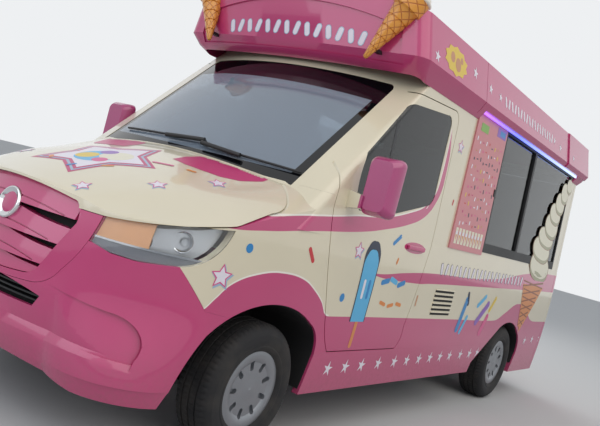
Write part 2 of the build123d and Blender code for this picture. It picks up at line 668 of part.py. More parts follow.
# Body sides behind the cab, each one wall with its windows cut
walls = skin & block(BODY_TAIL + TAIL_POST_X, ahead(-900), 0, FAR, 0, 2 * FAR)
walls = walls - door_out - block(BODY_TAIL, ahead(-1000), -FAR, 880, 0, 2 * FAR)
walls = walls - block(ahead(CAB_REAR_X), ahead(0), 0, FAR, 0, 2 * FAR)
wall = walls.solids().sort_by(SortBy.VOLUME)[-1]
pieces["body_side_left"] = wall - side_region(HATCH)
pieces["body_side_right"] = mirrored(wall - side_region(OFFSIDE_WINDOW))


# Rear frame round the twin rear doors, and the doors themselves
tail_skin = skin & block(BODY_TAIL, BODY_TAIL + TAIL_POST_X - PANEL_GAP, -FAR, FAR, 0, 2 * FAR)
door_y, (door_low, door_high) = TAIL_DOOR_Y, TAIL_DOOR_Z
tail_hole = block(BODY_TAIL - 50, BODY_TAIL + WALL + 1, -door_y, door_y, door_low, door_high)
frame_box = block(BODY_TAIL - 50, BODY_TAIL + TAIL_POST_X, -door_y + 60, door_y - 60,
                  door_low + 60, door_high - 40)
pieces["rear_frame"] = tail_skin - tail_hole - frame_box
for low, high in TAIL_PADS_Z:
    pad = tail_skin & block(BODY_TAIL, BODY_TAIL + WALL, door_y - PANEL_GAP + SEAT_GAP, door_y + 1,
                            low, high)
    pieces["rear_frame"] = pieces["rear_frame"] + pad + mirrored(pad)
leaf = tail_skin & block(BODY_TAIL - 50, BODY_TAIL + WALL, HALF_GAP, door_y - PANEL_GAP,
                         door_low + PANEL_GAP, door_high - PANEL_GAP)
pieces["rear_door_left"] = leaf
pieces["rear_door_right"] = mirrored(leaf)

# Header: the tall fascia all round, with its crowned roof, sitting on the body
header = loft([header_ring(*row, 0) for row in HEADER_RINGS], ruled=True)
cavity = loft([header_ring(*row, HEADER_WALL) for row in HEADER_RINGS], ruled=True)
header = header & roof_crown(0)
cavity = cavity & roof_crown(HEADER_WALL)
body_top = greenhouse(-SEAT_GAP, ROOF_Z + SEAT_GAP)
pieces["header"] = header - cavity - body_top - both_sides(side_region, HEADER_NOTCH)

# Cones on the header's front corners
cone_path = [(0, 0), (CONE_TIP_R, 6), (CONE_R, CONE_LENGTH - CONE_CUP), (CONE_CUP_R, CONE_LENGTH),
             (SCOOP_R, CONE_LENGTH + 60, SCOOP_R + 6, CONE_LENGTH + 25),
             (0, CONE_LENGTH + SCOOP_H, SCOOP_R * 0.72, CONE_LENGTH + SCOOP_H * 0.72)]
cone = revolve(Plane.XZ * closed_face(cone_path), Axis.Z)
cone_x, cone_y, cone_z = CONE_FOOT
cone = Pos(ahead(cone_x), cone_y, cone_z) * Rot(-CONE_LEAN_OUT, -CONE_LEAN_BACK, 0) * cone
cone = (cone - header).solids().sort_by(SortBy.VOLUME)[-1]
pieces["cones"] = Compound(children=[cone, mirrored(cone)])

# Floor and what stands on it
floor = block(ahead(FLOOR_FRONT), BODY_TAIL + WALL + SEAT_GAP, -FAR, FAR,
              FLOOR_TOP_Z - FLOOR_THICK, FLOOR_TOP_Z)
floor = floor & lower_form(WALL + SEAT_GAP, WALL)
pieces["floor"] = floor


# Serving hatch and offside window: black frames with sliding panes; the menu board beside them
pane_skin = greenhouse(PANE_SINK) - greenhouse(PANE_SINK + GLASS)
frame_skin = greenhouse(-FRAME_PROUD) - greenhouse(WALL - 4)


def window(opening, dividers):
    """Frame with its dividers, and the panes between them."""
    hole = side_region(opening, -SEAT_GAP)
    light = side_region(opening, -FRAME_WIDTH)
    bars = [block(ahead(x) - FRAME_WIDTH / 2, ahead(x) + FRAME_WIDTH / 2, 0, FAR, BELT_Z, ROOF_Z)
            for x in dividers]
    frame = (frame_skin & (hole - light)) + (frame_skin & light & bars[0])
    for bar in bars[1:]:
        frame = frame + (frame_skin & light & bar)
    panes = (pane_skin & light) - frame
    return frame, panes


left_frame, left_panes = window(HATCH, HATCH_DIVIDERS)
right_frame, right_panes = window(OFFSIDE_WINDOW, OFFSIDE_DIVIDERS)
pieces["window_frames"] = Compound(children=[*left_frame.solids(), *mirrored(right_frame).solids()])
pieces["window_glass"] = Compound(children=[*left_panes.solids(), *mirrored(right_panes).solids()])
menu = (greenhouse(-MENU_THICK) - greenhouse(-SEAT_GAP)) & side_region(MENU)
pieces["menu_board"] = menu

# Mirrors on the door corners
head = Pos(*mirror_place()) * Rot(0, MIRROR_TILT, 0) * mirror_head()
arm = mirror_arm()
mirror_left = (arm + head) - low_outer - green_outer
mirror_left = mirror_left.solids().sort_by(SortBy.VOLUME)[-1]
pieces["mirror_left"], pieces["mirror_right"] = mirror_left, mirrored(mirror_left)

# Rear bumper and tail lamps
bumper = block(TAIL_X, BODY_TAIL + 30, -940, 940, 400, 560)
bumper = fillet(bumper.edges().filter_by(Axis.Z).sort_by(Axis.X)[:2], 40)
bumper = fillet(bumper.edges().filter_by(Axis.Y).sort_by(Axis.X)[:2], 12)
pieces["bumper_rear"] = bumper - skin - tail_skin
lamp = (tail_skin & block(BODY_TAIL - 10, BODY_TAIL + 90, TAIL_DOOR_Y + 12, FAR, 980, 1480))
pieces["rear_frame"] = pieces["rear_frame"] - lamp - mirrored(lamp)
lamp_seat = lamp.solids().sort_by(SortBy.VOLUME)[-1]
pieces["tail_lamps"] = Compound(children=[lamp_seat, mirrored(lamp_seat)])

# Wheel arch liners follow the arches inside the wings and walls
def arch_liner(outline, inner_y):
    """Liner of one arch: a bent sheet with its inner wall."""
    shell = side_region(outline, -SEAT_GAP, inner_y, LINER_OUT_Y)
    hollow = side_region(outline, -LINER_THICK, inner_y + LINER_THICK, LINER_OUT_Y + 1)
    liner = (shell - hollow) & lower_form(LINER_INSET, 0)
    liner = liner - block(TAIL_X, NOSE_X, -FAR, FAR, 0, LINER_LOW_Z)
    return liner.solids().sort_by(SortBy.VOLUME)[-1]


front_liner = arch_liner(FRONT_ARCH, LINER_FRONT_Y)
rear_liner = arch_liner(REAR_ARCH, LINER_REAR_Y)
rear_liner = rear_liner - block(AXLE_R - 90, AXLE_R + 90, 0, LINER_REAR_Y + 50, 0, TYRE_RADIUS + 90)
liners = [front_liner, rear_liner, mirrored(front_liner), mirrored(rear_liner)]
pieces["arch_liners"] = Compound(children=liners)
for arch_y, outline in ((LINER_FRONT_Y, FRONT_ARCH), (LINER_REAR_Y, REAR_ARCH)):
    bay = side_region(outline, 0, arch_y)
    pieces["floor"] = pieces["floor"] - bay - mirrored(bay)

# Wheels
for corner, axle_x, side in (("front_left", AXLE_F, 1), ("front_right", AXLE_F, -1),
                             ("rear_left", AXLE_R, 1), ("rear_right", AXLE_R, -1)):
    tyre, rim = wheel()
    if side < 0:
        tyre, rim = mirrored(tyre), mirrored(rim)
    place = Pos(axle_x, side * HUB_Y, TYRE_RADIUS)
    pieces["tyre_" + corner], pieces["rim_" + corner] = place * tyre, place * rim

# Steering knuckles, front subframe, rear axle
knuckle = knuckle_solid()
pieces["knuckle_left"], pieces["knuckle_right"] = knuckle, mirrored(knuckle)
pieces["front_subframe"] = front_subframe()
pieces["rear_axle"] = rear_axle()
pieces["chassis_frame"] = chassis_frame()
pieces["engine_block"] = fillet(
    block(ahead(60), ahead(640), -270, 270, *ENGINE_Z).edges().filter_by(Axis.X), 40)
pieces["exhaust"] = exhaust()
pieces["fuel_tank"] = fillet(block(ahead(-1650), ahead(-2650), -880, -560, 350, FLOOR_TOP_Z - FLOOR_THICK - SEAT_GAP).edges(), 45)

# Cab inside
pieces["dashboard"] = dashboard() & low_or_green_inside()
pieces["seats"] = Compound(children=[seat(430), seat(-430)])
pieces["counter"] = counter()
pieces["soft_serve_machine"] = machine()

for name, solid in pieces.items():
    print(name, solid.is_valid, [round(s.volume / 1e6, 2) for s in solid.solids()])
    export_step(solid, f"parts/{name}.step")
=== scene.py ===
# %% [markdown]
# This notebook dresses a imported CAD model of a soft-serve ice cream van. The CAD solids keep their
# places. Blender adds paint, glass, rubber, stickers and the small trim that CAD left out. The first
# cell loads the model as a fixed frame, so that every later piece can be placed in the same metres.
# Places along the van are counted from the front axle, since the photograph was measured from there.

import bpy
import bmesh
import math
from mathutils import Matrix, Vector
from mathutils.bvhtree import BVHTree


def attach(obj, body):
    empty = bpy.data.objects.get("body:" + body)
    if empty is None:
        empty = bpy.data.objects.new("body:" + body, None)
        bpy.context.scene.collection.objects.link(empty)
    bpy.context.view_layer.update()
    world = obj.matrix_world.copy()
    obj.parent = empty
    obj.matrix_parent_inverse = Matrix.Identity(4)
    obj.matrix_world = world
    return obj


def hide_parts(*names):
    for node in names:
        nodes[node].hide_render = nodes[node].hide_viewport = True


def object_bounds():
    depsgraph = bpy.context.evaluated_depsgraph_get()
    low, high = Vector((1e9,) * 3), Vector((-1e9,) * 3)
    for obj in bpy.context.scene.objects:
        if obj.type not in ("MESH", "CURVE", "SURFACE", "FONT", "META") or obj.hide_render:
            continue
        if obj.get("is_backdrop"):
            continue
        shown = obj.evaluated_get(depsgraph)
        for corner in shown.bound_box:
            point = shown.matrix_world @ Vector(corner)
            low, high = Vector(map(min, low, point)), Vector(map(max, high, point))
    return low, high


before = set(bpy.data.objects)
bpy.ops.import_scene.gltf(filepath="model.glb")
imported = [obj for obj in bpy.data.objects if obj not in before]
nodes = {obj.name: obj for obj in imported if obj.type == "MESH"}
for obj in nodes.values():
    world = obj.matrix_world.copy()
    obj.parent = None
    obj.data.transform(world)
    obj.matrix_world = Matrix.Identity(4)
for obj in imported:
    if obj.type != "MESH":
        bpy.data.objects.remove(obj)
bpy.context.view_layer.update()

MM = 0.001
FRONT_AXLE_X = 1.962
REAR_AXLE_X = -1.703
TAIL_X = -2.966
SIDES = ((1, "left"), (-1, "right"))
ALONG, ACROSS, UP = Vector((1, 0, 0)), Vector((0, 1, 0)), Vector((0, 0, 1))


def ahead(x):
    """X in the model, in metres, of a place measured from the front axle."""
    return FRONT_AXLE_X + x


def ahead_mm(x):
    """The same in millimetres."""
    return 1000 * FRONT_AXLE_X + x


# %% [markdown]
# The photograph was taken by hand, close to the front left corner, with the camera tilted. Its place
# and tilt were solved from points whose real places are known. Its three axes are written down as a
# matrix, because angles would hide the tilt. The lens is in millimetres on a 36 mm sensor.

# %% Camera
SENSOR_MM = 36
PHOTO_WIDTH = 600
FOCAL_PIXELS = 710.41
eye = Vector((4.8881, 3.0230, 1.3541))
to_right = Vector((-0.56168621, 0.78611699, 0.25793153))
to_floor = Vector((-0.13274253, 0.22209007, -0.96594794))
to_van = Vector((-0.81663212, -0.57679812, -0.02039377))
camera_data = bpy.data.cameras.new("photo_camera")
camera_data.lens = FOCAL_PIXELS * SENSOR_MM / PHOTO_WIDTH
camera_data.sensor_width = SENSOR_MM
camera_data.clip_end = 200
camera = bpy.data.objects.new("photo_camera", camera_data)
camera.matrix_world = Matrix((to_right, -to_floor, -to_van)).transposed().to_4x4()
camera.location = eye
scene = bpy.context.scene
scene.collection.objects.link(camera)
scene.camera = camera
print("camera at", tuple(eye), "lens", round(camera_data.lens, 2))

# %% [markdown]
# Every finish below is a small tree of shader nodes. Three helpers keep those trees short: one fills
# a node's inputs, one adds a node, one starts a material. Colours are written as the hex values that
# a paint chart gives and are turned to the linear light that Blender reckons in.

# %% Colour and node helpers
scene.view_settings.view_transform = "Standard"


def linear(hex_colour, alpha=1.0):
    """Linear RGBA from an sRGB hex colour."""
    parts = [int(hex_colour[i:i + 2], 16) / 255 for i in (0, 2, 4)]
    return tuple(p / 12.92 if p <= 0.04045 else ((p + 0.055) / 1.055) ** 2.4 for p in parts) + (alpha,)


def feed(tree, node, feeds):
    """Fill a node's inputs: a pair of node and output is linked, anything else is a value."""
    for slot, value in dict(feeds).items():
        if isinstance(value, tuple) and isinstance(value[0], bpy.types.Node):
            tree.links.new(value[0].outputs[value[1]], node.inputs[slot])
        else:
            node.inputs[slot].default_value = value


def add(tree, kind, feeds=(), **settings):
    """Add one shader node with its settings and fill its inputs."""
    made = tree.nodes.new("ShaderNode" + kind)
    for name, value in settings.items():
        setattr(made, name, value)
    feed(tree, made, feeds)
    return made


def new_material(name):
    """Empty material with its tree, its surface node and its output."""
    material = bpy.data.materials.new(name)
    material.use_nodes = True
    tree = material.node_tree
    tree.nodes.clear()
    surface = add(tree, "BsdfPrincipled")
    add(tree, "OutputMaterial", {"Surface": (surface, "BSDF")})
    return material, tree, surface


def place_in_model(tree):
    """A texture's place in the model's own metres, whole and split into x, y and z."""
    place = (add(tree, "TexCoord"), "Object")
    return place, add(tree, "SeparateXYZ", {0: place})


def new_object(name, mesh):
    """Object of a mesh, linked to the scene."""
    made = bpy.data.objects.new(name, mesh)
    scene.collection.objects.link(made)
    return made


print("black, white as linear light:", linear("000000")[:3], linear("FFFFFF")[:3])

# %% [markdown]
# The day was overcast: one big soft sky and few hard shadows. A pale world does most of the lighting.
# One large area lamp high on the camera's side gives the paint its long soft highlights, and two
# weaker ones keep the far panels readable. The camera, metal and glass all see a near white world.
# The lamp behind is kept out of reflections, or it would wash out the bonnet.

# %% Light and floor
WORLD_LIGHT = 0.54
FLOOR_REACH = 40

world = bpy.data.worlds.new("overcast")
world.use_nodes = True
sky = world.node_tree
sky.nodes.clear()
ray = add(sky, "LightPath")
seen = add(sky, "Math", {0: (ray, "Is Camera Ray"), 1: (ray, "Is Transmission Ray")}, operation="MAXIMUM")
seen = add(sky, "Math", {0: (seen, 0), 1: (ray, "Is Glossy Ray")}, operation="MAXIMUM")
light = add(sky, "Background", {"Color": linear("DDE4EC"), "Strength": WORLD_LIGHT})
shown = add(sky, "Background", {"Color": linear("EEF0F2"), "Strength": 1.0})
either = add(sky, "MixShader", {0: (seen, 0), 1: (light, 0), 2: (shown, 0)})
add(sky, "OutputWorld", {"Surface": (either, 0)})
scene.world = world


def area_lamp(name, place, target, size, watts, colour, mirrored=True):
    """Soft rectangular lamp that looks at a target; mirrored is whether gloss shows it."""
    data = bpy.data.lights.new(name, "AREA")
    data.shape = "RECTANGLE"
    data.size, data.size_y = size
    data.energy = watts
    data.color = linear(colour)[:3]
    lamp = new_object(name, data)
    lamp.location = place
    lamp.rotation_mode = "QUATERNION"
    lamp.rotation_quaternion = (Vector(target) - Vector(place)).to_track_quat("-Z", "Y")
    lamp.visible_glossy = mirrored


area_lamp("sky_left", (2.5, 6.5, 7.5), (0.3, 0.5, 1.2), (12, 9), 400, "FFF8EF")
area_lamp("sky_front", (8.5, -1.5, 5.0), (2.0, 0.0, 1.0), (7, 6), 170, "F3F6FF")
area_lamp("sky_rear_right", (-5.0, -5.5, 5.5), (-1.0, 0.0, 1.2), (8, 6), 280, "FFFFFF",
          mirrored=False)

mesh = bpy.data.meshes.new("floor")
mesh.from_pydata([(x * FLOOR_REACH, y * FLOOR_REACH, 0) for x, y in ((-1, -1), (1, -1), (1, 1), (-1, 1))],
                 [], [(0, 1, 2, 3)])
ground = new_object("floor_stage", mesh)
ground.location.z = -MM
pale, tree, surface = new_material("pale_floor")
grit = add(tree, "TexNoise", {"Scale": 3.0, "Detail": 6.0})
tone = add(tree, "MapRange", {"Value": (grit, "Fac"), "To Min": 0.60, "To Max": 0.68})
colour = add(tree, "CombineColor", {0: (tone, 0), 1: (tone, 0), 2: (tone, 0)})
feed(tree, surface, {"Base Color": (colour, 0), "Roughness": 0.8})
ground.data.materials.append(pale)
ground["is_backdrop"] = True
print("lights and floor ready")

# %% [markdown]
# The bodywork is a white panel van resprayed by hand in two colours, rose and cream. The stripes
# follow the body, so they are drawn by place: a curve gives the height of a stripe's edge for each x
# along the van. One material can then cross every shut line, as the real stripe does, and the panels'
# gaps cut it cleanly. An image would need unwrapped panels and would blur at the edges.

# %% Stripe curves
ROSE = "C23A73"
CREAM = "DFD6BC"
WHITE = "F2EEE4"
X_SPAN = (-3.0, 3.0)
Z_SPAN = (0.0, 3.0)
SOFT_EDGE = 0.0012
COACHLINE = 0.009


def edge_curve(tree, along, points, span_in=X_SPAN, span_out=Z_SPAN):
    """Height of a stripe's edge as a curve over the place along the van."""
    reach = add(tree, "MapRange", {"Value": along, "From Min": span_in[0], "From Max": span_in[1]})
    curve = add(tree, "FloatCurve", {"Value": (reach, 0)})
    line = curve.mapping.curves[0]
    scaled = sorted(((u - span_in[0]) / (span_in[1] - span_in[0]),
                     (v - span_out[0]) / (span_out[1] - span_out[0])) for u, v in points)
    line.points[0].location = scaled[0]
    line.points[1].location = scaled[-1]
    for place in scaled[1:-1]:
        line.points.new(*place)
    for point in line.points:
        point.handle_type = "AUTO_CLAMPED"
    curve.mapping.extend = "HORIZONTAL"
    curve.mapping.update()
    return add(tree, "MapRange", {"Value": (curve, 0), "To Min": span_out[0], "To Max": span_out[1]})


def step(tree, low, high, soft=SOFT_EDGE):
    """1 where high is above low, 0 elsewhere, with a hair-thin soft edge."""
    rise = add(tree, "Math", {0: high, 1: low}, operation="SUBTRACT")
    return add(tree, "MapRange", {"Value": (rise, 0), "From Min": -soft, "From Max": soft})


def join(tree, masks, how="MULTIPLY"):
    """One mask from several: MULTIPLY for all of them, MAXIMUM for any of them."""
    total = masks[0]
    for mask in masks[1:]:
        total = add(tree, "Math", {0: (total, 0), 1: (mask, 0)}, operation=how)
    return total


def between(tree, value, low, high):
    """1 where a value lies between two limits, each a number or a node's output."""
    return join(tree, [step(tree, low, value), step(tree, value, high)])


def to_x(rows, lift=0.0):
    """Rows of place ahead of the front axle and height, in model x, lifted."""
    return [(ahead(u), v + lift) for u, v in rows]


# place ahead of the front axle, height
LOWER_EDGE = [(-2.96, 0.755), (-2.2, 0.760), (-1.0, 0.760), (-0.47, 0.758), (-0.36, 0.84),
              (-0.282, 0.890), (-0.149, 0.949), (0.038, 0.968), (0.217, 0.943), (0.361, 0.886),
              (0.45, 0.80), (0.502, 0.745), (0.62, 0.70)]
REAR_EDGE = [(-2.96, 0.755), (-3.218, 0.762), (-3.429, 0.832), (-3.699, 0.923), (-3.86, 0.925),
             (-4.05, 0.86), (-4.24, 0.775), (-4.4, 0.760), (-4.9, 0.760)]
WAIST_LOW = [(0.64, 1.150), (0.481, 1.139), (0.2, 1.163), (-0.081, 1.201), (-0.635, 1.262),
             (-0.865, 1.300), (-1.176, 1.369), (-1.350, 1.430), (-1.470, 1.520), (-1.545, 1.640)]
WAIST_HIGH = [(0.64, 1.135), (0.606, 1.145), (0.337, 1.203), (0.1, 1.252), (-0.05, 1.276),
              (-0.338, 1.312), (-0.52, 1.338), (-0.865, 1.376), (-1.176, 1.448), (-1.330, 1.500),
              (-1.430, 1.570), (-1.480, 1.640)]
BELT_LOW = [(-0.80, 1.030), (-0.989, 1.008), (-1.5, 1.000), (-1.688, 1.009), (-2.651, 1.035),
            (-3.737, 1.060), (-4.2, 1.070), (-4.95, 1.080)]
BELT_HIGH = [(-0.80, 1.030), (-0.989, 1.034), (-1.25, 1.058), (-1.644, 1.082), (-2.606, 1.099),
             (-3.2, 1.140), (-3.688, 1.205), (-4.2, 1.245), (-4.95, 1.262)]
# height, place ahead of the front axle
HOOK_FRONT = [(1.50, -1.380), (1.58, -1.445), (1.64, -1.480), (1.75, -1.500), (1.88, -1.508),
              (2.00, -1.506), (2.07, -1.500)]
HOOK_REAR = [(1.50, -1.455), (1.58, -1.515), (1.64, -1.545), (1.75, -1.558), (1.88, -1.556),
             (2.00, -1.524), (2.07, -1.502)]
HOOK_HEIGHTS = (1.50, 2.07)
# rose oval behind the door handle: centre x and z, half length, half height
HANDLE_OVAL = (-1.332, 1.230, 0.155, 0.036)
REAR_EDGE_FROM = -2.96
ARCH_LINE_FROM = -0.47
print("stripe curves", len(LOWER_EDGE) + len(WAIST_LOW) + len(BELT_LOW), "points")

# %% [markdown]
# The paint is two-pack enamel: colour under clear lacquer, sprayed on site. Its eye-catching traits
# are the wet gloss, a slight orange peel about 3 mm across, and road dust low down. A clear coat over
# a duller base gives the gloss, and fine noise in the bump gives the peel.

# %% Enamel
PEEL_SCALE = 330.0
DUST_TOP, DUST_FOOT = 0.62, 0.22


def enamel(tree, surface, base, dusty=True):
    """Clear-coated enamel: orange peel, a slight change of tone and road dust near the ground."""
    place, xyz = place_in_model(tree)
    cloud = add(tree, "TexNoise", {"Vector": place, "Scale": 2.2, "Detail": 3.0})
    tone = add(tree, "MapRange", {"Value": (cloud, "Fac"), "To Min": 0.93, "To Max": 1.05})
    varied = add(tree, "HueSaturation", {"Color": base, "Value": (tone, 0)})
    speck = add(tree, "TexNoise", {"Vector": place, "Scale": 55.0, "Detail": 5.0})
    low = add(tree, "MapRange", {"Value": (xyz, "Z"), "From Min": DUST_TOP, "From Max": DUST_FOOT,
                                 "To Max": 0.5 if dusty else 0.0})
    dust = add(tree, "Math", {0: (low, 0), 1: (speck, "Fac")}, operation="MULTIPLY")
    dusted = add(tree, "MixRGB", {0: (dust, 0), 1: (varied, 0), 2: linear("6E6459")})
    rough = add(tree, "MapRange", {"Value": (dust, 0), "To Min": 0.30, "To Max": 0.75, "From Max": 0.4})
    ripple = add(tree, "TexNoise", {"Vector": place, "Scale": PEEL_SCALE, "Detail": 1.0})
    relief = add(tree, "Bump", {"Height": (ripple, "Fac"), "Strength": 0.10, "Distance": 0.0004})
    feed(tree, surface, {"Base Color": (dusted, 0), "Roughness": (rough, 0), "Normal": (relief, 0),
                         "Coat Weight": 0.8, "Coat Roughness": 0.05, "IOR": 1.5})


def stripe_mask(tree, x, z, low_rows, high_rows, first, last):
    """Band between two curves, from one place along the van to another."""
    top = edge_curve(tree, x, to_x(high_rows))
    under = edge_curve(tree, x, to_x(low_rows))
    ends = between(tree, x, ahead(first), ahead(last))
    return join(tree, [between(tree, z, (under, 0), (top, 0)), ends])


def coachline_mask(tree, x, z, rows, first, last):
    """Thin line that lies on a curve."""
    top = edge_curve(tree, x, to_x(rows, COACHLINE))
    under = add(tree, "Math", {0: (top, 0), 1: COACHLINE}, operation="SUBTRACT")
    ends = between(tree, x, ahead(first), ahead(last))
    return join(tree, [between(tree, z, (under, 0), (top, 0)), ends])


def oval_mask(tree, x, z, oval):
    """1 inside an oval."""
    squares = []
    for value, centre, half in ((x, ahead(oval[0]), oval[2]), (z, oval[1], oval[3])):
        off = add(tree, "Math", {0: value, 1: centre}, operation="SUBTRACT")
        share = add(tree, "Math", {0: (off, 0), 1: half}, operation="DIVIDE")
        squares.append(add(tree, "Math", {0: (share, 0), 1: 2.0}, operation="POWER"))
    reach = add(tree, "Math", {0: (squares[0], 0), 1: (squares[1], 0)}, operation="ADD")
    return step(tree, (reach, 0), 1.0, 0.01)


print("enamel has a peel of", round(1000 / PEEL_SCALE, 1), "mm")

# %% [markdown]
# Two curves bound each stripe: the rose sill that rises over both wheel arches, the waist stripe that
# climbs from the lamp to the door's rear edge, the belt under the hatch, and a hook behind the window.
# A white coachline edges three of them. The largest of all masks says where the paint is rose.

# %% Two-colour and one-colour paint
def two_tone(name):
    """Rose and cream enamel split by the stripes' curves."""
    material, tree, surface = new_material(name)
    _, xyz = place_in_model(tree)
    x, z = (xyz, "X"), (xyz, "Z")
    front_edge = edge_curve(tree, x, to_x(LOWER_EDGE))
    rear_edge = edge_curve(tree, x, to_x(REAR_EDGE))
    behind = step(tree, x, ahead(REAR_EDGE_FROM))
    edge = add(tree, "Mix", {0: (behind, 0), 2: (front_edge, 0), 3: (rear_edge, 0)})
    front_x, rear_x = (edge_curve(tree, z, [(u, ahead(v)) for u, v in rows], Z_SPAN, X_SPAN)
                       for rows in (HOOK_FRONT, HOOK_REAR))
    tall = between(tree, z, *HOOK_HEIGHTS)
    rose = join(tree, [step(tree, z, (edge, 0)),
                       stripe_mask(tree, x, z, WAIST_LOW, WAIST_HIGH, -1.50, 0.606),
                       stripe_mask(tree, x, z, BELT_LOW, BELT_HIGH, -4.95, -0.80),
                       join(tree, [between(tree, x, (rear_x, 0), (front_x, 0)), tall]),
                       oval_mask(tree, x, z, HANDLE_OVAL)], "MAXIMUM")
    line_top = add(tree, "Math", {0: (edge, 0), 1: COACHLINE}, operation="ADD")
    line_x = add(tree, "Math", {0: (front_x, 0), 1: COACHLINE}, operation="ADD")
    lines = join(tree, [join(tree, [between(tree, z, (edge, 0), (line_top, 0)),
                                    step(tree, ahead(ARCH_LINE_FROM), x)]),
                        coachline_mask(tree, x, z, WAIST_HIGH, -1.47, 0.60),
                        join(tree, [between(tree, x, (front_x, 0), (line_x, 0)), tall])], "MAXIMUM")
    mixed = add(tree, "MixRGB", {0: (rose, 0), 1: linear(CREAM), 2: linear(ROSE)})
    edged = add(tree, "MixRGB", {0: (lines, 0), 1: (mixed, 0), 2: linear(WHITE)})
    enamel(tree, surface, (edged, 0))
    return material


def one_tone(name, colour):
    """The same enamel in one colour."""
    material, tree, surface = new_material(name)
    enamel(tree, surface, linear(colour))
    return material


coated = set()


def coat_nodes(names, material):
    """Give CAD nodes one material in place of the plain one that they are loaded with."""
    coated.update(names)
    for name in names:
        data = nodes[name].data
        data.materials.clear()
        data.materials.append(material)


striped_enamel = two_tone("two_pack_enamel_rose_on_cream")
rose_enamel = one_tone("two_pack_enamel_rose", ROSE)
cream_enamel = one_tone("two_pack_enamel_cream", CREAM)
coat_nodes(["fender_left", "fender_right", "cab_shell", "door_left", "door_right", "body_side_left",
            "body_side_right", "rear_frame", "rear_door_left", "rear_door_right"], striped_enamel)
coat_nodes(["sill_skirts"], rose_enamel)
print("painted", len(coated), "nodes")

# %% [markdown]
# Automotive glass is tempered or laminated soda-lime float glass with a green-grey tint. From outside
# it reads as a dark mirror of the sky, and only bright things inside show through. A Principled
# surface with full transmission and a tint in its base colour does that. Light passes it on its way
# in as well, so for shadow rays the glass is only a tint. A black ceramic border is baked onto the
# rim of the windscreen, so the tint turns black there. Along the foot the black band is partly that
# border and partly the painted shadow of the wipers, which rest just above it.

# %% Glass
BAND_COLOUR = "0B0C10"
BAND_TOP = (2.065, 2.035)
BAND_HALF_WIDTH = 0.725
# height below which the screen is black: ceramic border and painted shadow of the wipers
BAND_AND_WIPER_SHADOW_FOOT = 1.475
BAND_EDGE = 0.002


def screen_band(tree, surface, tint):
    """Black band along the top, the foot and the sides of the windscreen: ceramic border, and at the foot
    also painted wiper shadow.
    """
    _, xyz = place_in_model(tree)
    y, z = (xyz, "Y"), (xyz, "Z")
    bow = add(tree, "Math", {0: y, 1: y}, operation="MULTIPLY")
    top = add(tree, "MapRange", {"Value": (bow, 0), "From Max": 0.6, "To Min": BAND_TOP[0],
                                 "To Max": BAND_TOP[1]})
    side = add(tree, "Math", {0: y}, operation="ABSOLUTE")
    dark = join(tree, [step(tree, (top, 0), z, BAND_EDGE),
                       step(tree, BAND_HALF_WIDTH, (side, 0), BAND_EDGE),
                       # below the foot: ceramic border and painted shadow of the wipers
                       step(tree, z, BAND_AND_WIPER_SHADOW_FOOT, BAND_EDGE)], "MAXIMUM")
    mixed = add(tree, "MixRGB", {0: (dark, 0), 1: tint, 2: linear(BAND_COLOUR)})
    clear = add(tree, "MapRange", {"Value": (dark, 0), "To Min": 0.55, "To Max": 0.0})
    feed(tree, surface, {"Base Color": (mixed, 0), "Transmission Weight": (clear, 0)})


def float_glass(name, tint, border=None):
    """Tinted glass; border adds the black band by place (ceramic border, and painted wiper shadow at the
    foot).
    """
    material, tree, surface = new_material(name)
    feed(tree, surface, {"Transmission Weight": 1.0, "Roughness": 0.015, "IOR": 1.52,
                         "Base Color": linear(tint)})
    if border:
        border(tree, surface, linear(tint))
    shade = add(tree, "BsdfTransparent", {"Color": linear(tint)})
    ray = add(tree, "LightPath")
    either = add(tree, "MixShader", {0: (ray, "Is Shadow Ray"), 1: (surface, "BSDF"), 2: (shade, 0)})
    ending = next(n for n in tree.nodes if n.type == "OUTPUT_MATERIAL")
    feed(tree, ending, {"Surface": (either, 0)})
    return material


screen_glass = float_glass("laminated_glass_grey", "A3B0BE", screen_band)
side_glass = float_glass("tempered_glass_privacy", "4E5656")
hatch_glass = float_glass("tempered_glass_hatch", "7C8486")
coat_nodes(["windscreen"], screen_glass)
coat_nodes(["door_glass_left", "door_glass_right"], side_glass)
print("glass ready")

# %% [markdown]
# Under the paint sit the plain materials of a working van. Each gets a small tree: a fine noise in
# real millimetres for its grain, and a broad one that shifts tone and sheen, as wear and dirt do.
# Only metals and metal-coated plastics get a metallic share, and the IOR stays at its default.

# %% Plastics, rubber and metals
def moulded(name, colour, rough, grain_mm, depth, metal=0.0, spread=0.12):
    """A solid material with a fine grain: colour, roughness and bump from two noises."""
    material, tree, surface = new_material(name)
    place = (add(tree, "TexCoord"), "Object")
    grain = add(tree, "TexNoise", {"Vector": place, "Scale": 1000.0 / grain_mm, "Detail": 3.0})
    cloud = add(tree, "TexNoise", {"Vector": place, "Scale": 4.0, "Detail": 4.0})
    tone = add(tree, "MapRange", {"Value": (cloud, "Fac"), "To Min": 1 - spread, "To Max": 1 + spread})
    varied = add(tree, "HueSaturation", {"Color": linear(colour), "Value": (tone, 0)})
    shine = add(tree, "MapRange", {"Value": (cloud, "Fac"), "To Min": rough - 0.07, "To Max": rough + 0.07})
    relief = add(tree, "Bump", {"Height": (grain, "Fac"), "Strength": depth, "Distance": 0.0005})
    feed(tree, surface, {"Base Color": (varied, 0), "Roughness": (shine, 0), "Normal": (relief, 0),
                         "Metallic": metal})
    return material


# Polypropylene, injection moulded and left bare: dull black with a leather grain of about 1 mm.
black_plastic = moulded("moulded_polypropylene_black", "17181A", 0.48, 1.2, 0.35)
# Vacuum-formed arch liner: coarser and almost without sheen, so the arches read as dark holes.
liner_plastic = moulded("moulded_liner_black", "101012", 0.75, 2.5, 0.5)
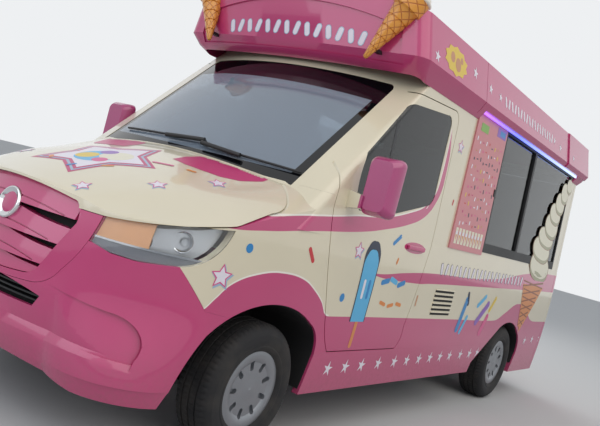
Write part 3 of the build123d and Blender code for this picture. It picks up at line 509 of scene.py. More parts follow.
# Chassis black, brushed on thick: a soft sheen over uneven steel.
chassis_paint = moulded("chassis_black_paint", "1B1B1D", 0.5, 3.0, 0.3)
# Sand-cast iron: a rough skin that has dulled to brown-grey.
cast_iron = moulded("cast_iron_rough", "4A4643", 0.6, 2.0, 0.5, metal=0.8)
# Stainless sheet of the machine: bright, with soft broken reflections.
stainless = moulded("stainless_sheet_brushed", "B9B9B6", 0.32, 1.0, 0.15, metal=1.0, spread=0.05)
# Hot-dip aluminised steel: a grey mottled skin that the heat has dulled.
exhaust_steel = moulded("aluminised_exhaust_steel", "7D7A74", 0.45, 2.0, 0.3, metal=0.9)
# Woven polyester on the seats: matt, its threads drawn 1.5 mm apart so that they show.
seat_cloth = moulded("woven_seat_cloth", "2A2D31", 0.9, 1.5, 0.8)
# Laminate of the worktop: pressed smooth and nearly white.
laminate = moulded("white_laminate", "D9D9D4", 0.35, 2.0, 0.1, spread=0.04)
# Slush-moulded dashboard: dark grey with a coarse grain that kills glare.
dash_plastic = moulded("moulded_dash_grey", "23252A", 0.6, 1.5, 0.5)
# Safety vinyl on the floor: grey, rough with grit.
floor_vinyl = moulded("safety_floor_vinyl", "6C6E70", 0.6, 2.0, 0.5)
# Moulded acrylic of the lamps: deep red and glossy.
red_lens = moulded("acrylic_lens_red", "8E0F12", 0.12, 6.0, 0.25)
# ABS wheel trims under silver lacquer: a satin metallic look without a mirror's edge.
silver = moulded("silver_lacquered_abs", "8F9297", 0.34, 1.0, 0.08, metal=0.65, spread=0.06)

wheels = ("front_left", "front_right", "rear_left", "rear_right")
for names, material in ((("arch_liners",), liner_plastic), (("bumper_rear", "fuel_tank"), black_plastic),
                        (("front_subframe", "rear_axle", "chassis_frame"), chassis_paint),
                        (("knuckle_left", "knuckle_right", "engine_block"), cast_iron),
                        (("exhaust",), exhaust_steel), (("soft_serve_machine",), stainless),
                        (("seats",), seat_cloth), (("counter",), laminate),
                        (("dashboard",), dash_plastic), (("floor",), floor_vinyl),
                        (("tail_lamps",), red_lens), (["rim_" + w for w in wheels], silver)):
    coat_nodes(names, material)
print("coated", len(coated), "of", len(nodes), "nodes")

# %% [markdown]
# Tyre rubber is vulcanised in a steel mould and goes grey-brown where road dust settles in it. Broad
# noise lays the dust on in patches, and fine noise gives the rubber its dull, slightly rough skin.

# %% Tyre rubber
rubber, tree, surface = new_material("tyre_rubber")
place = (add(tree, "TexCoord"), "Object")
grain = add(tree, "TexNoise", {"Vector": place, "Scale": 260.0, "Detail": 4.0})
dust = add(tree, "TexNoise", {"Vector": place, "Scale": 9.0, "Detail": 5.0})
brown = add(tree, "MapRange", {"Value": (dust, "Fac"), "From Min": 0.42, "From Max": 0.75, "To Max": 0.35})
mixed = add(tree, "MixRGB", {0: (brown, 0), 1: linear("17171A"), 2: linear("4A453F")})
relief = add(tree, "Bump", {"Height": (grain, "Fac"), "Strength": 0.35, "Distance": 0.0006})
feed(tree, surface, {"Base Color": (mixed, 0), "Roughness": 0.78, "Normal": (relief, 0)})
print("rubber ready")

# %% [markdown]
# The nose, lamps and header have pockets, slats and lips that were pressed or moulded in one go. The
# quickest true way to make them is the modeller's own: outlines drawn from the front or the side are
# swept into blocks, and the blocks are added to or cut from the body's form with Blender's Boolean
# modifier. All outlines are in millimetres, so each can be set against the van's drawing.

# %% Outlines
TINY = 1e-6


def arc_points(start, middle, end, count):
    """Points after start along the arc through middle that leads to end."""
    (ax, ay), (bx, by), (cx, cy) = start, middle, end
    d = 2 * (ax * (by - cy) + bx * (cy - ay) + cx * (ay - by))
    if abs(d) < TINY:
        return [end]
    a2, b2, c2 = ax * ax + ay * ay, bx * bx + by * by, cx * cx + cy * cy
    ux = (a2 * (by - cy) + b2 * (cy - ay) + c2 * (ay - by)) / d
    uy = (a2 * (cx - bx) + b2 * (ax - cx) + c2 * (bx - ax)) / d
    first, mid, last = [math.atan2(y - uy, x - ux) for x, y in (start, middle, end)]
    sweep = (last - first) % math.tau
    if (mid - first) % math.tau > sweep:
        sweep -= math.tau
    r = math.hypot(ax - ux, ay - uy)
    return [(ux + r * math.cos(first + sweep * k / count), uy + r * math.sin(first + sweep * k / count))
            for k in range(1, count + 1)]


def outline(path, count=14):
    """Closed line from corners (u, v), or (u, v, um, vm) where an arc through (um, vm) leads there."""
    points = []
    for here, there in zip(path, path[1:] + path[:1]):
        if len(there) == 4:
            points += arc_points(here[:2], there[2:], there[:2], count)
        else:
            points.append(tuple(there[:2]))
    return points


def grown(points, d):
    """A closed line moved outwards by d."""
    area = sum(a[0] * b[1] - b[0] * a[1] for a, b in zip(points, points[1:] + points[:1]))
    side = d if area > 0 else -d
    moved = []
    for before, here, after in zip(points[-1:] + points[:-1], points, points[1:] + points[:1]):
        into = Vector((here[0] - before[0], here[1] - before[1]))
        out = Vector((after[0] - here[0], after[1] - here[1]))
        if into.length < TINY or out.length < TINY:
            continue
        into.normalize()
        out.normalize()
        normal = Vector((into.y + out.y, -into.x - out.x))
        normal /= max(normal.length ** 2 / 2, 0.5)
        moved.append((here[0] + normal.x * side, here[1] + normal.y * side))
    return moved


print("an arc of 4 steps:", [tuple(round(v) for v in p) for p in arc_points((0, 0), (50, 50), (100, 0), 4)])

# %% Blocks
PAST_NOSE = 1400
PAST_FLANK = 1100
WELD = 2e-6


def stack(name, rings):
    """Closed solid through rings of points in millimetres, capped at both ends."""
    mesh = bpy.data.meshes.new(name)
    shape = bmesh.new()
    rows = [[shape.verts.new(Vector(p) * MM) for p in ring] for ring in rings]
    for low, high in zip(rows, rows[1:]):
        for k in range(len(low)):
            after = (k + 1) % len(low)
            shape.faces.new((low[k], low[after], high[after], high[k]))
    caps = [shape.faces.new(rows[0]), shape.faces.new(rows[-1])]
    bmesh.ops.recalc_face_normals(shape, faces=shape.faces)
    bmesh.ops.triangulate(shape, faces=caps)
    shape.to_mesh(mesh)
    shape.free()
    return new_object(name, mesh)


def from_front(points, x_from, x_to=PAST_NOSE, name="front_block"):
    """Block swept along the van from a line drawn in (y, z), x ahead of the front axle."""
    return stack(name, [[(ahead_mm(x), y, z) for y, z in points] for x in (x_from, x_to)])


def from_side(points, y_from=-PAST_FLANK, y_to=PAST_FLANK, name="side_block"):
    """Block swept across the van from a line drawn in (x ahead of the front axle, z)."""
    return stack(name, [[(ahead_mm(x), y, z) for x, z in points] for y in (y_from, y_to)])


def box_block(x0, x1, y0, y1, z0, z1):
    """Box between two corners, x ahead of the front axle."""
    return from_front([(y0, z0), (y1, z0), (y1, z1), (y0, z1)], x0, x1)


def flank_span(side, inner, outer):
    """Two distances from the middle as y values in rising order, on the given side."""
    return sorted((side * inner, side * outer))


def duplicate(thing, name="copy", back=0.0):
    """A welded copy of an object's mesh as an object of its own, moved back by some millimetres."""
    mesh = thing.data.copy()
    shape = bmesh.new()
    shape.from_mesh(mesh)
    bmesh.ops.remove_doubles(shape, verts=shape.verts, dist=WELD)
    shape.to_mesh(mesh)
    shape.free()
    if back:
        mesh.transform(Matrix.Translation((-back / 1000, 0, 0)))
    return new_object(name, mesh)


def carve(base, tool, how="DIFFERENCE", keep=False):
    """Cut tool from base, or keep what they share; the tool goes unless it is kept."""
    change = base.modifiers.new("cut", "BOOLEAN")
    change.operation = how
    change.solver = "MANIFOLD"
    change.object = tool
    bpy.context.view_layer.update()
    depsgraph = bpy.context.evaluated_depsgraph_get()
    old = base.data
    base.data = bpy.data.meshes.new_from_object(base.evaluated_get(depsgraph))
    base.modifiers.clear()
    bpy.data.meshes.remove(old)
    if not keep:
        bpy.data.objects.remove(tool)
    return base


def leaned(thing, angle, x, z):
    """The object turned about a cross line at x ahead of the front axle and height z."""
    pivot = Vector((FRONT_AXLE_X + x * MM, 0, z * MM))
    turn = Matrix.Translation(pivot) @ Matrix.Rotation(math.radians(angle), 4, "Y")
    thing.data.transform(turn @ Matrix.Translation(-pivot))
    return thing


def finish_piece(thing, name, material, body="body", stands_for=(), angle=35, bevel=0.0):
    """Name a made object, give it a finish, soft shading and the body it rides on."""
    thing.name = name
    thing.data.name = name
    thing.data.materials.clear()
    thing.data.materials.append(material)
    if bevel:
        edge = thing.modifiers.new("edge", "BEVEL")
        edge.width = bevel
        edge.segments = 2
        edge.limit_method = "ANGLE"
        edge.angle_limit = math.radians(40)
        edge.harden_normals = True
    for face in thing.data.polygons:
        face.use_smooth = True
    thing.data.set_sharp_from_angle(angle=math.radians(angle))
    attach(thing, body)
    if stands_for:
        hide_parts(*stands_for)
    return thing


test = carve(box_block(0, 100, 0, 100, 0, 100), box_block(50, 150, 50, 150, -10, 200))
print("block helpers ready, test cut has", len(test.data.polygons), "faces")
bpy.data.objects.remove(test)

# %% [markdown]
# The nose is a loft: level rings, each made of three arcs a side, get larger and smaller with height.
# Their sizes are the ones that the CAD used. Between the given heights each size follows a smooth
# curve, which is what a loft does. An inner copy, drawn in by the wall, makes a shell of it.

# %% Nose sizes
# z, nose x, brow x, wing x, wing y, half width
NOSE_RINGS = [(240, 925, 880, 590, 930, 966), (430, 990, 928, 550, 936, 979),
              (720, 1004, 930, 410, 940, 992), (1040, 962, 897, 410, 937, 990),
              (1480, 860, 800, 360, 905, 962)]
# x, crown z, crease y, crease z, shoulder y, shoulder z, outer z, from the rear to the front
BONNET_STATIONS = [(-50, 1470, 730, 1395, 900, 1338, 1220), (200, 1395, 650, 1318, 860, 1266, 1160),
                   (620, 1262, 550, 1210, 780, 1135, 1060), (900, 1150, 400, 1108, 640, 1055, 1015),
                   (1060, 1095, 350, 1062, 620, 1000, 950)]
BONNET_CUTS = 24
BROW_Y = 450
DOOR_RING_X = -500
WALL = 42
BONNET_WALL = 28
RING_PITCH = 20


def smooth_row(table, at):
    """A row of a table at any value of its first column, on a smooth curve through its rows."""
    for k in range(len(table) - 1):
        if at <= table[k + 1][0] or k == len(table) - 2:
            break
    t = (at - table[k][0]) / (table[k + 1][0] - table[k][0])
    t = min(max(t, 0), 1)
    before, after = table[max(k - 1, 0)], table[min(k + 2, len(table) - 1)]
    row = []
    for a, b, c, d in zip(before, table[k], table[k + 1], after):
        row.append(b + 0.5 * t * (c - a + t * (2 * a - 5 * b + 4 * c - d + t * (3 * (b - c) + d - a))))
    return row[1:]


def tangent_arc(start, end, tangent, count):
    """Points after start on the arc that leaves it along tangent, and the direction at its end."""
    chord = Vector(end) - Vector(start)
    normal = Vector((-tangent[1], tangent[0]))
    sideways = chord.dot(normal)
    if abs(sideways) < TINY:
        return [end], tangent
    radius = chord.length_squared / (2 * sideways)
    centre = Vector(start) + normal * radius
    first = Vector(start) - centre
    sweep = 2 * math.asin(max(-1, min(1, chord.length / (2 * abs(radius)))))
    sweep = math.copysign(sweep, radius)
    points = []
    for k in range(1, count + 1):
        turn = Matrix.Rotation(sweep * k / count, 2)
        points.append(tuple(centre + turn @ first))
    return points, tuple(Matrix.Rotation(sweep, 2) @ Vector(tangent))


print("width at the lamps", round(2 * smooth_row(NOSE_RINGS, 1000)[4]), "mm")

# %% Nose form
def nose_ring(z, row, inset):
    """Level outline of the nose at one height, closed across behind."""
    nose, brow, wing_x, wing_y, half = row
    door = (DOOR_RING_X, half - inset)
    wing = (wing_x, wing_y - inset)
    brow_p = (brow - inset, BROW_Y - 0.3 * inset)
    side, heading = tangent_arc(door, wing, (1, 0), 14)
    corner, _ = tangent_arc(wing, brow_p, heading, 22)
    front = arc_points(brow_p, (nose - inset, 0), (brow_p[0], -brow_p[1]), 24)
    half_line = [door] + side + corner
    line = half_line + front[:-1] + [(x, -y) for x, y in reversed(half_line)]
    return [(ahead_mm(x), y, z) for x, y in line]


def ring_stack(table, inset=0, low=None, straight=False, name="rings"):
    """Solid through level rings; straight keeps flat bands between the given heights."""
    low = table[0][0] if low is None else low
    high = table[-1][0]
    count = max(1, round((high - low) / RING_PITCH))
    heights = [row[0] for row in table] if straight else [
        low + (high - low) * k / count for k in range(count + 1)]
    rings = []
    for z in heights:
        row = next((r[1:] for r in table if r[0] == z), None) or smooth_row(table, z)
        rings.append(nose_ring(z, row, inset))
    return stack(name, rings)


def over_bonnet(inset):
    """Everything above the bonnet's surface."""
    low = 1.1 * inset
    rings = []
    for k in range(BONNET_CUTS):
        x = 1060 - 1110 * k / (BONNET_CUTS - 1)
        crown, crease_y, crease_z, shoulder_y, shoulder_z, outer = smooth_row(BONNET_STATIONS, x)
        path = [(-1050, outer - low), (-crease_y, crease_z - low, -shoulder_y, shoulder_z - low),
                (crease_y, crease_z - low, 0, crown - low),
                (1050, outer - low, shoulder_y, shoulder_z - low), (1050, 2800), (-1050, 2800)]
        rings.append([(ahead_mm(x), y, z) for y, z in outline(path, 16)])
    return stack("over_bonnet", rings)


nose_outer = carve(ring_stack(NOSE_RINGS, name="nose_outer"), over_bonnet(0))
nose_inner = carve(ring_stack(NOSE_RINGS, WALL, low=200, name="nose_inner"), over_bonnet(BONNET_WALL))
nose_shell = carve(duplicate(nose_outer, "nose_shell"), nose_inner)
print("nose shell", len(nose_shell.data.polygons), "faces")

# %% [markdown]
# The bumper is one moulding in the nose's form, cut out by its outline. A tilted ledge runs across it
# below the grille, each corner has a pocket, an intake is cut low down, and the foot tucks in towards
# the road. Each of these is a copy of the nose form set further back, seen through an outline, so the
# recess keeps the curve of the skin around it.

# %% Bumper
BUMPER = [(235, 712), (478, 745), (642, 924), (782, 905), (852, 911), (890, 935), (1400, 945),
          (1400, 0), (235, 0)]
ARCH = [(625, 200), (440, 635, 552, 455), (-320, 712, 20, 806), (-432, 520, -415, 622), (-395, 200)]
GRILLE = [(310, 684, 0, 668), (445, 782, 392, 716), (556, 1052, 520, 905), (556, 1300), (-556, 1300),
          (-556, 1052), (-445, 782, -520, 905), (-310, 684, -392, 716)]
INTAKE = [(-335, 578), (335, 578), (372, 634), (-372, 634, 0, 674)]
POCKET = [(395, 700), (700, 666), (848, 492, 806, 626), (848, 470), (395, 504)]
POCKET_PIVOT = Matrix.Translation((FRONT_AXLE_X + 0.940, 0.400, 0))
POCKET_TURN = 3
FOOT = [(640, 290), (-640, 290, 0, 336), (-1400, 288), (-1400, 0), (1400, 0), (1400, 288)]
TUCK_RINGS = [(150, 840, 800, 540, 888, 925), (372, 978, 920, 556, 934, 974)]
LEDGE_RINGS = [(380, 992, 932, 556, 946, 992), (462, 993, 930, 550, 938, 984),
               (508, 978, 910, 535, 916, 962), (790, 1062, 985, 490, 957, 1010)]
LEDGE_ZONE = [(-848, 400), (848, 400), (848, 700), (-848, 700)]
LEDGE_LEAN = (-7, 990, 480)

bumper = carve(duplicate(nose_shell, "bumper"), from_side(outline(BUMPER)), "INTERSECT")
for side, _ in SIDES:
    carve(bumper, from_side(outline(ARCH), *flank_span(side, 300, PAST_FLANK)))
ledge = leaned(ring_stack(LEDGE_RINGS, straight=True, name="ledge"), *LEDGE_LEAN)
carve(bumper, carve(from_front(LEDGE_ZONE, 500), ledge))
turned = duplicate(nose_outer)
turn = Matrix.Rotation(math.radians(POCKET_TURN), 4, "Z")
turned.data.transform(POCKET_PIVOT @ turn @ POCKET_PIVOT.inverted())
pocket = carve(from_front(outline(POCKET), 500), turned)
other = duplicate(pocket)
other.data.transform(Matrix.Scale(-1, 4, ACROSS))
other.data.flip_normals()
carve(bumper, pocket)
carve(bumper, other)
tuck = ring_stack(TUCK_RINGS, straight=True, name="tuck")
carve(bumper, carve(box_block(200, PAST_NOSE, -1200, 1200, 160, 371), tuck))
for cut, x_from in ((outline(FOOT), 100), (outline(INTAKE), 700), (grown(outline(GRILLE), 2), 500)):
    carve(bumper, from_front(cut, x_from))
finish_piece(bumper, "bumper_skin", rose_enamel, stands_for=("bumper_front",), bevel=0.004)
print("bumper", len(bumper.data.polygons), "faces")

# %% [markdown]
# The grille's frame is a moulded ring between the lamps, sprayed with the body. The bonnet reaches
# down over it with a shallow notch. Frame and bonnet come from the same form, so the notch and the
# frame's mouth meet as two cuts of one surface.

# %% Grille frame and bonnet
MOUTH = [(262, 712, 0, 695), (334, 768, 308, 733), (441, 990), (424, 1060, 439, 1028), (424, 1300),
         (-424, 1300), (-424, 1060), (-441, 990, -439, 1028), (-334, 768), (-262, 712, -308, 733)]
NOTCH = [(-424, 1000), (424, 1000), (424, 1060), (384, 1090, 411, 1081), (-384, 1090, 0, 1120),
         (-424, 1060, -411, 1081)]
BONNET_EDGE = [(1400, 1040), (866, 1056), (572, 1118), (420, 1150), (420, 2000), (1400, 2000)]

surround = carve(duplicate(nose_shell, "surround"), from_front(outline(GRILLE), 500), "INTERSECT")
carve(surround, from_front(outline(MOUTH), 400))
carve(surround, from_side(outline(BONNET_EDGE)))
finish_piece(surround, "grille_surround", rose_enamel, stands_for=("grille",), bevel=0.003)

lid = duplicate(nodes["bonnet"], "bonnet_notched")
carve(lid, from_front(outline(NOTCH), 400))
finish_piece(lid, "bonnet_skin", cream_enamel, "bonnet_lid", ("bonnet",), bevel=0.003)
print("frame and bonnet ready")

# %% [markdown]
# Four slats lean back in the mouth, each with a pressed groove, and the gaps between them widen to
# the sides. A slat is the nose's shell, leaned and cut by its band, so it bows as the frame does.
# Behind it all hangs a black skin for the mesh, drawn plain because its holes are too fine to show;
# it is also painted shade for the dark engine bay that shows through the gaps.

# %% Slats, ribs and mesh
# groove height, groove half length, lower edge, top of the next slat at its ends
SLATS = [(1037, 365, 994, 956), (916, 330, 878, 846), (808, 285, 771, 752), (0, 0, 600, 0)]
SLAT_LEAN = -10
SLAT_PIVOT_X = 985
SLAT_REACH = 450
FIRST_SLAT_TOP = 1090
INTAKE_RIBS = (600, 622, 644)


def slat_band(k):
    """Front outline of one slat: flat foot, and a top that falls away from the middle."""
    low = SLATS[k][2]
    foot = [(-SLAT_REACH, low), (SLAT_REACH, low)]
    if k == 0:
        return outline(foot + [(SLAT_REACH, 1300), (-SLAT_REACH, 1300)])
    high, end = SLATS[k - 1][2:]
    high -= 3
    mid = (high + end) / 2 - 7
    return outline(foot + [(SLAT_REACH, end), (40, high, 235, mid), (-40, high),
                           (-SLAT_REACH, end, -235, mid)])


for k, (groove_z, reach, low, _) in enumerate(SLATS):
    middle = (low + (SLATS[k - 1][2] if k else FIRST_SLAT_TOP)) / 2
    form = leaned(duplicate(nose_shell), SLAT_LEAN, SLAT_PIVOT_X, middle)
    form.data.transform(Matrix.Translation((-0.010, 0, 0)))
    slat = carve(form, from_front(slat_band(k), 600), "INTERSECT")
    carve(slat, from_front(grown(outline(MOUTH), -2), 600), "INTERSECT")
    if k == 0:
        carve(slat, over_bonnet(2))
        carve(slat, from_front(grown(outline(NOTCH), -3), 600), "INTERSECT")
    if groove_z:
        end_z = groove_z - 28
        line = outline([(reach, end_z), (-reach, end_z, 0, groove_z), (-reach, end_z - 6),
                        (reach, end_z - 6, 0, groove_z - 6)])
        deep = leaned(duplicate(nose_outer), SLAT_LEAN, SLAT_PIVOT_X, middle)
        deep.data.transform(Matrix.Translation((-0.017, 0, 0)))
        carve(slat, carve(from_front(line, 600), deep))
    finish_piece(slat, f"grille_slat_{k + 1}", rose_enamel, bevel=0.002)

for z in INTAKE_RIBS:
    rib = duplicate(nose_shell, back=30)
    carve(rib, box_block(700, PAST_NOSE, -374, 374, z, z + 8), "INTERSECT")
    carve(rib, from_front(outline(INTAKE), 700), "INTERSECT")
    finish_piece(rib, f"intake_rib_{z}", black_plastic)
# black skin behind the grille: the mesh, and painted shade of the engine bay seen through the gaps
behind = duplicate(nose_shell, back=75)
carve(behind, box_block(600, PAST_NOSE, -470, 470, 560, 1030), "INTERSECT")
finish_piece(behind, "grille_mesh_and_painted_shade", liner_plastic)
print("nose pieces ready")

# %% [markdown]
# Each headlamp is a clear cover over a tray. In the tray sit a projector and a main beam bowl, the
# part next to the grille is amber for the indicator, and a chrome lip follows the bowls' shelf. Only
# thin parts refract well, so the cover is 4 mm thick and the bright parts sit behind it.

# %% Lamp materials and forms
LAMP = [(642, 924), (422, 1130, 502, 1000), (572, 1116), (866, 1054), (1400, 1038), (1400, 947),
        (890, 938), (852, 914), (782, 908)]
COVER_DEPTHS, TRAY_DEPTHS, TRIM_DEPTHS = (0, 4), (66, 96), (16, 20)
# Chromed ABS: a mirror with a faint unevenness from the moulding under the plating.
chrome = moulded("chromed_abs", "D9DADC", 0.10, 4.0, 0.05, metal=1.0, spread=0.03)
# ABS with aluminium fogged on: bright but satin, so the tray lights up behind the cover.
lamp_grey = moulded("lamp_tray_metallised_abs", "CDD0D4", 0.25, 2.0, 0.1, metal=0.35)
# Bare grey ABS of the shelf under the bowls.
shelf_grey = moulded("lamp_shelf_grey", "7B7F85", 0.3, 2.0, 0.1)
# Amber acrylic, moulded with a fine ripple that scatters the bulb.
amber = moulded("acrylic_amber", "E3A878", 0.25, 6.0, 0.2)
# Polycarbonate cover, moulded clear and hard coated.
lens = float_glass("polycarbonate_lamp_cover", "F4F6F8")


def layer(outer, inner):
    """Skin of the nose between two depths under its surface."""
    form = carve(ring_stack(NOSE_RINGS, outer), over_bonnet(0.7 * outer))
    deep = carve(ring_stack(NOSE_RINGS, inner, low=200), over_bonnet(0.7 * inner))
    return carve(form, deep)


def lamp_zone(side):
    """Block that a headlamp fills, on the left (1) or right (-1)."""
    zone = from_side(outline(LAMP), *flank_span(side, 420, PAST_FLANK))
    return carve(zone, from_front(grown(outline(GRILLE), 3), 300, 1500))


def turned_solid(name, profile, place, facing, steps=40):
    """Solid of revolution from (radius, height) in mm about an axis through place."""
    rings = []
    for r, h in profile:
        rings.append([(r * math.cos(math.tau * k / steps), r * math.sin(math.tau * k / steps), h)
                      for k in range(steps)])
    made = stack(name, rings)
    made.data.transform(Matrix.Translation(place) @ Vector(facing).to_track_quat("Z", "Y").to_matrix()
                        .to_4x4())
    return made


lamp_skins = {depths: layer(*depths) for depths in (COVER_DEPTHS, TRAY_DEPTHS, TRIM_DEPTHS)}
print("lamp skins", [len(skin.data.polygons) for skin in lamp_skins.values()], "faces")

# %% Headlamps
# name, depths, material, y and z limits of the part, move forward in metres, node it stands for
LAMP_PARTS = (("lamp_cover", COVER_DEPTHS, lens, None, 0, ("headlamps",)),
              ("lamp_tray", TRAY_DEPTHS, lamp_grey, None, 0, ()),
              ("lamp_shelf", TRIM_DEPTHS, shelf_grey, (500, 1100, 800, 962), 0, ()),
              ("lamp_lip", TRIM_DEPTHS, chrome, (500, 1100, 960, 969), 0.004, ()),
              ("indicator", TRIM_DEPTHS, amber, (500, 752, 968, 1200), 0, ()))
BOWLS = ((640, 822, 1030, 44), (775, 715, 996, 40))

for side, word in SIDES:
    zone = lamp_zone(side)
    for name, depths, material, limits, forward, stands_for in LAMP_PARTS:
        part = carve(duplicate(lamp_skins[depths]), zone, "INTERSECT", keep=True)
        if forward:
            part.data.transform(Matrix.Translation((forward, 0, 0)))
        if limits:
            inner, outer, low, high = limits
            carve(part, box_block(300, 1500, *flank_span(side, inner, outer), low, high), "INTERSECT")
        finish_piece(part, f"{name}_{word}", material, stands_for=stands_for)
    bpy.data.objects.remove(zone)
    for x, y, z, r in BOWLS:
        place = Vector((FRONT_AXLE_X + x * MM - 0.03, side * (y * MM - 0.012), z * MM))
        facing = Vector((0.86, side * 0.5, 0.06))
        bowl = turned_solid("bowl", [(8, -34), (r * 0.7, -22), (r, 6), (r + 5, 8), (r + 5, -2),
                                     (r * 0.75, -30), (8, -42)], place, facing)
        finish_piece(bowl, f"lamp_bowl_{word}_{x}", chrome, angle=50)
        bulb = turned_solid("bulb", [(1, 4), (r * 0.38, 0), (r * 0.52, -10), (r * 0.55, -22), (1, -24)],
                            place, facing)
        finish_piece(bulb, f"lamp_projector_{word}_{x}", lens, angle=50)
for spare in list(lamp_skins.values()) + [nose_outer, nose_shell]:
    bpy.data.objects.remove(spare)
print("lamps ready")

# %% [markdown]
# In the middle of the grille sits a round badge. It is left blank: a plain chromed ring with a rose
# dish in it, turned on a lathe from two short profiles and leaned back like the slats.

# %% Blank badge
BADGE_PLACE = Vector((FRONT_AXLE_X + 0.967, 0, 0.985))
BADGE_FACING = Vector((1, 0, 0.2))
for name, material, profile in (
        ("blank_badge_ring", chrome, [(60, 0), (68, 9), (74, 10), (79, 6), (79, -10), (60, -10)]),
        ("blank_badge_dish", rose_enamel, [(1, 4), (36, 3), (61, -2), (61, -10), (1, -10)])):
    finish_piece(turned_solid(name, profile, BADGE_PLACE, BADGE_FACING, 64), name, material, angle=60)
print("badge ready")

# %% [markdown]
# The header is a glass fibre box round the roof. Its front is bowed, its lower lip flares out, its
# roof is crowned, a shallow recess frames the front, and a seam and a raised end cap break the sides.
# It is built of level rings again, hollowed by a smaller copy of itself, and the recess is pressed in
# by the same form set 13 mm further back.

# %% Header forms
# z, front x, half width, rear x
HEADER_RINGS = [(2235, -905, 930, -4880), (2275, -822, 962, -4895), (2345, -765, 1000, -4912),
                (2600, -745, 940, -4898), (2760, -735, 915, -4890)]
HEADER_CORNER = 90
HEADER_BOW = 75
HEADER_WALL = 22
UNDER_HEADER, OVER_ROOF = 2200, 2800
ROOF_EDGE_Z, ROOF_CROWN_Z = 2530, 2700


def header_form(inset, low=None):
    """Header without its roof, drawn in by inset."""
    rings = []
    for z, front, half, rear in HEADER_RINGS:
        wide, front_x, rear_x = half - inset, front - inset, rear + inset
        corner = HEADER_CORNER - 0.5 * inset
        turn = corner * (1 - math.cos(math.pi / 4))
        path = [(front_x, wide - corner, front_x + HEADER_BOW, 0),
                (front_x - corner, wide, front_x - turn, wide - turn), (rear_x + corner, wide),
                (rear_x, wide - corner, rear_x + turn, wide - turn), (rear_x, corner - wide),
                (rear_x + corner, -wide, rear_x + turn, turn - wide), (front_x - corner, -wide),
                (front_x, corner - wide, front_x - turn, turn - wide)]
        if low and z == HEADER_RINGS[0][0]:
            z = low
        rings.append([(ahead_mm(x), y, z) for x, y in outline(path, 24)])
    return stack("header_form", rings)


def under_crown(inset):
    """Everything under the crowned roof."""
    edge, top = ROOF_EDGE_Z - inset, ROOF_CROWN_Z - inset
    return from_front(outline([(-1400, 0), (1400, 0), (1400, edge), (-1400, edge, 0, top)], 40),
                      -6000, 1000)


header_outer = carve(header_form(0), under_crown(0), "INTERSECT")
print("header form", len(header_outer.data.polygons), "faces")

# %% Header
HEADER_RECESS = [(-845, 2290), (845, 2290), (812, 2492), (-812, 2492, 0, 2600)]
RECESS_LEAN = (-6, -790, 2290)
RECESS_DEPTH = 13
LIGHT_NOTCH = [(-1880, 2200), (-1880, 2303), (-4590, 2303), (-4590, 2200)]
SEAM = (-1793, -1787)
SEAM_DEPTH = 6

header = duplicate(header_outer, "header_new")
hollow = carve(header_form(HEADER_WALL, UNDER_HEADER), under_crown(HEADER_WALL), "INTERSECT")
carve(header, hollow)
recess = leaned(from_front(outline(HEADER_RECESS, 24), -900, 0), *RECESS_LEAN)
carve(header, carve(recess, duplicate(header_outer, back=RECESS_DEPTH)))
carve(header, from_side(LIGHT_NOTCH, 850, PAST_FLANK))
core = carve(header_form(SEAM_DEPTH, UNDER_HEADER), under_crown(SEAM_DEPTH), "INTERSECT")
carve(header, carve(box_block(*SEAM, -PAST_FLANK, PAST_FLANK, UNDER_HEADER, OVER_ROOF), core))
finish_piece(header, "header_shell", rose_enamel, stands_for=("header",), bevel=0.006)

cap = carve(carve(header_form(-12), under_crown(-6), "INTERSECT"), header_outer)
carve(cap, box_block(-5000, -4050, -PAST_FLANK, PAST_FLANK, 2303, OVER_ROOF), "INTERSECT")
finish_piece(cap, "header_end_cap", rose_enamel, bevel=0.004)
print("header ready")

# %% [markdown]
# The two cornets on the header are glass fibre, laid up in turned moulds: a tapered foot with the
# wafer's rings, a cup, and a swirl in tiers. A lathe's profile gives each. The wafer's crossed lines
# are painted on, so they are a pattern of two sloping saws that run round the cone's own axis.

# %% Wafer glaze
WAFER_PITCH = 0.030
WAFER_SLOPE = 0.9
CONE_MEAN_R = 0.075


def waffle_glaze(name, foot):
    """Orange glaze crossed by two sets of darker lines, a wafer's pattern about a cone's axis."""
    material, tree, surface = new_material(name)
    place = (add(tree, "TexCoord"), "Object")
    turn = foot.inverted()
    source = (add(tree, "Mapping", {"Vector": place, "Location": turn.translation,
                                    "Rotation": turn.to_euler()}), 0)
    xyz = add(tree, "SeparateXYZ", {0: source})
    angle = add(tree, "Math", {0: (xyz, "Y"), 1: (xyz, "X")}, operation="ARCTAN2")
    along = add(tree, "Math", {0: (angle, 0), 1: CONE_MEAN_R}, operation="MULTIPLY")
    lines = []
    for slope in (WAFER_SLOPE, -WAFER_SLOPE):
        tilt = add(tree, "Math", {0: (along, 0), 1: slope}, operation="MULTIPLY")
        total = add(tree, "Math", {0: (tilt, 0), 1: (xyz, "Z")}, operation="ADD")
        ratio = add(tree, "Math", {0: (total, 0), 1: WAFER_PITCH}, operation="DIVIDE")
        saw = add(tree, "Math", {0: (ratio, 0), 1: 1.0}, operation="PINGPONG")
        lines.append(add(tree, "MapRange", {"Value": (saw, 0), "From Min": 0.10, "From Max": 0.20,
                                            "To Min": 1.0, "To Max": 0.0}))
    grid = join(tree, lines, "MAXIMUM")
    mixed = add(tree, "MixRGB", {0: (grid, 0), 1: linear("E39B3C"), 2: linear("B8691F")})
    relief = add(tree, "Bump", {"Height": (grid, 0), "Strength": 0.6, "Distance": 0.002}, invert=True)
    feed(tree, surface, {"Base Color": (mixed, 0), "Normal": (relief, 0), "Roughness": 0.3,
                         "Coat Weight": 0.4})
    return material


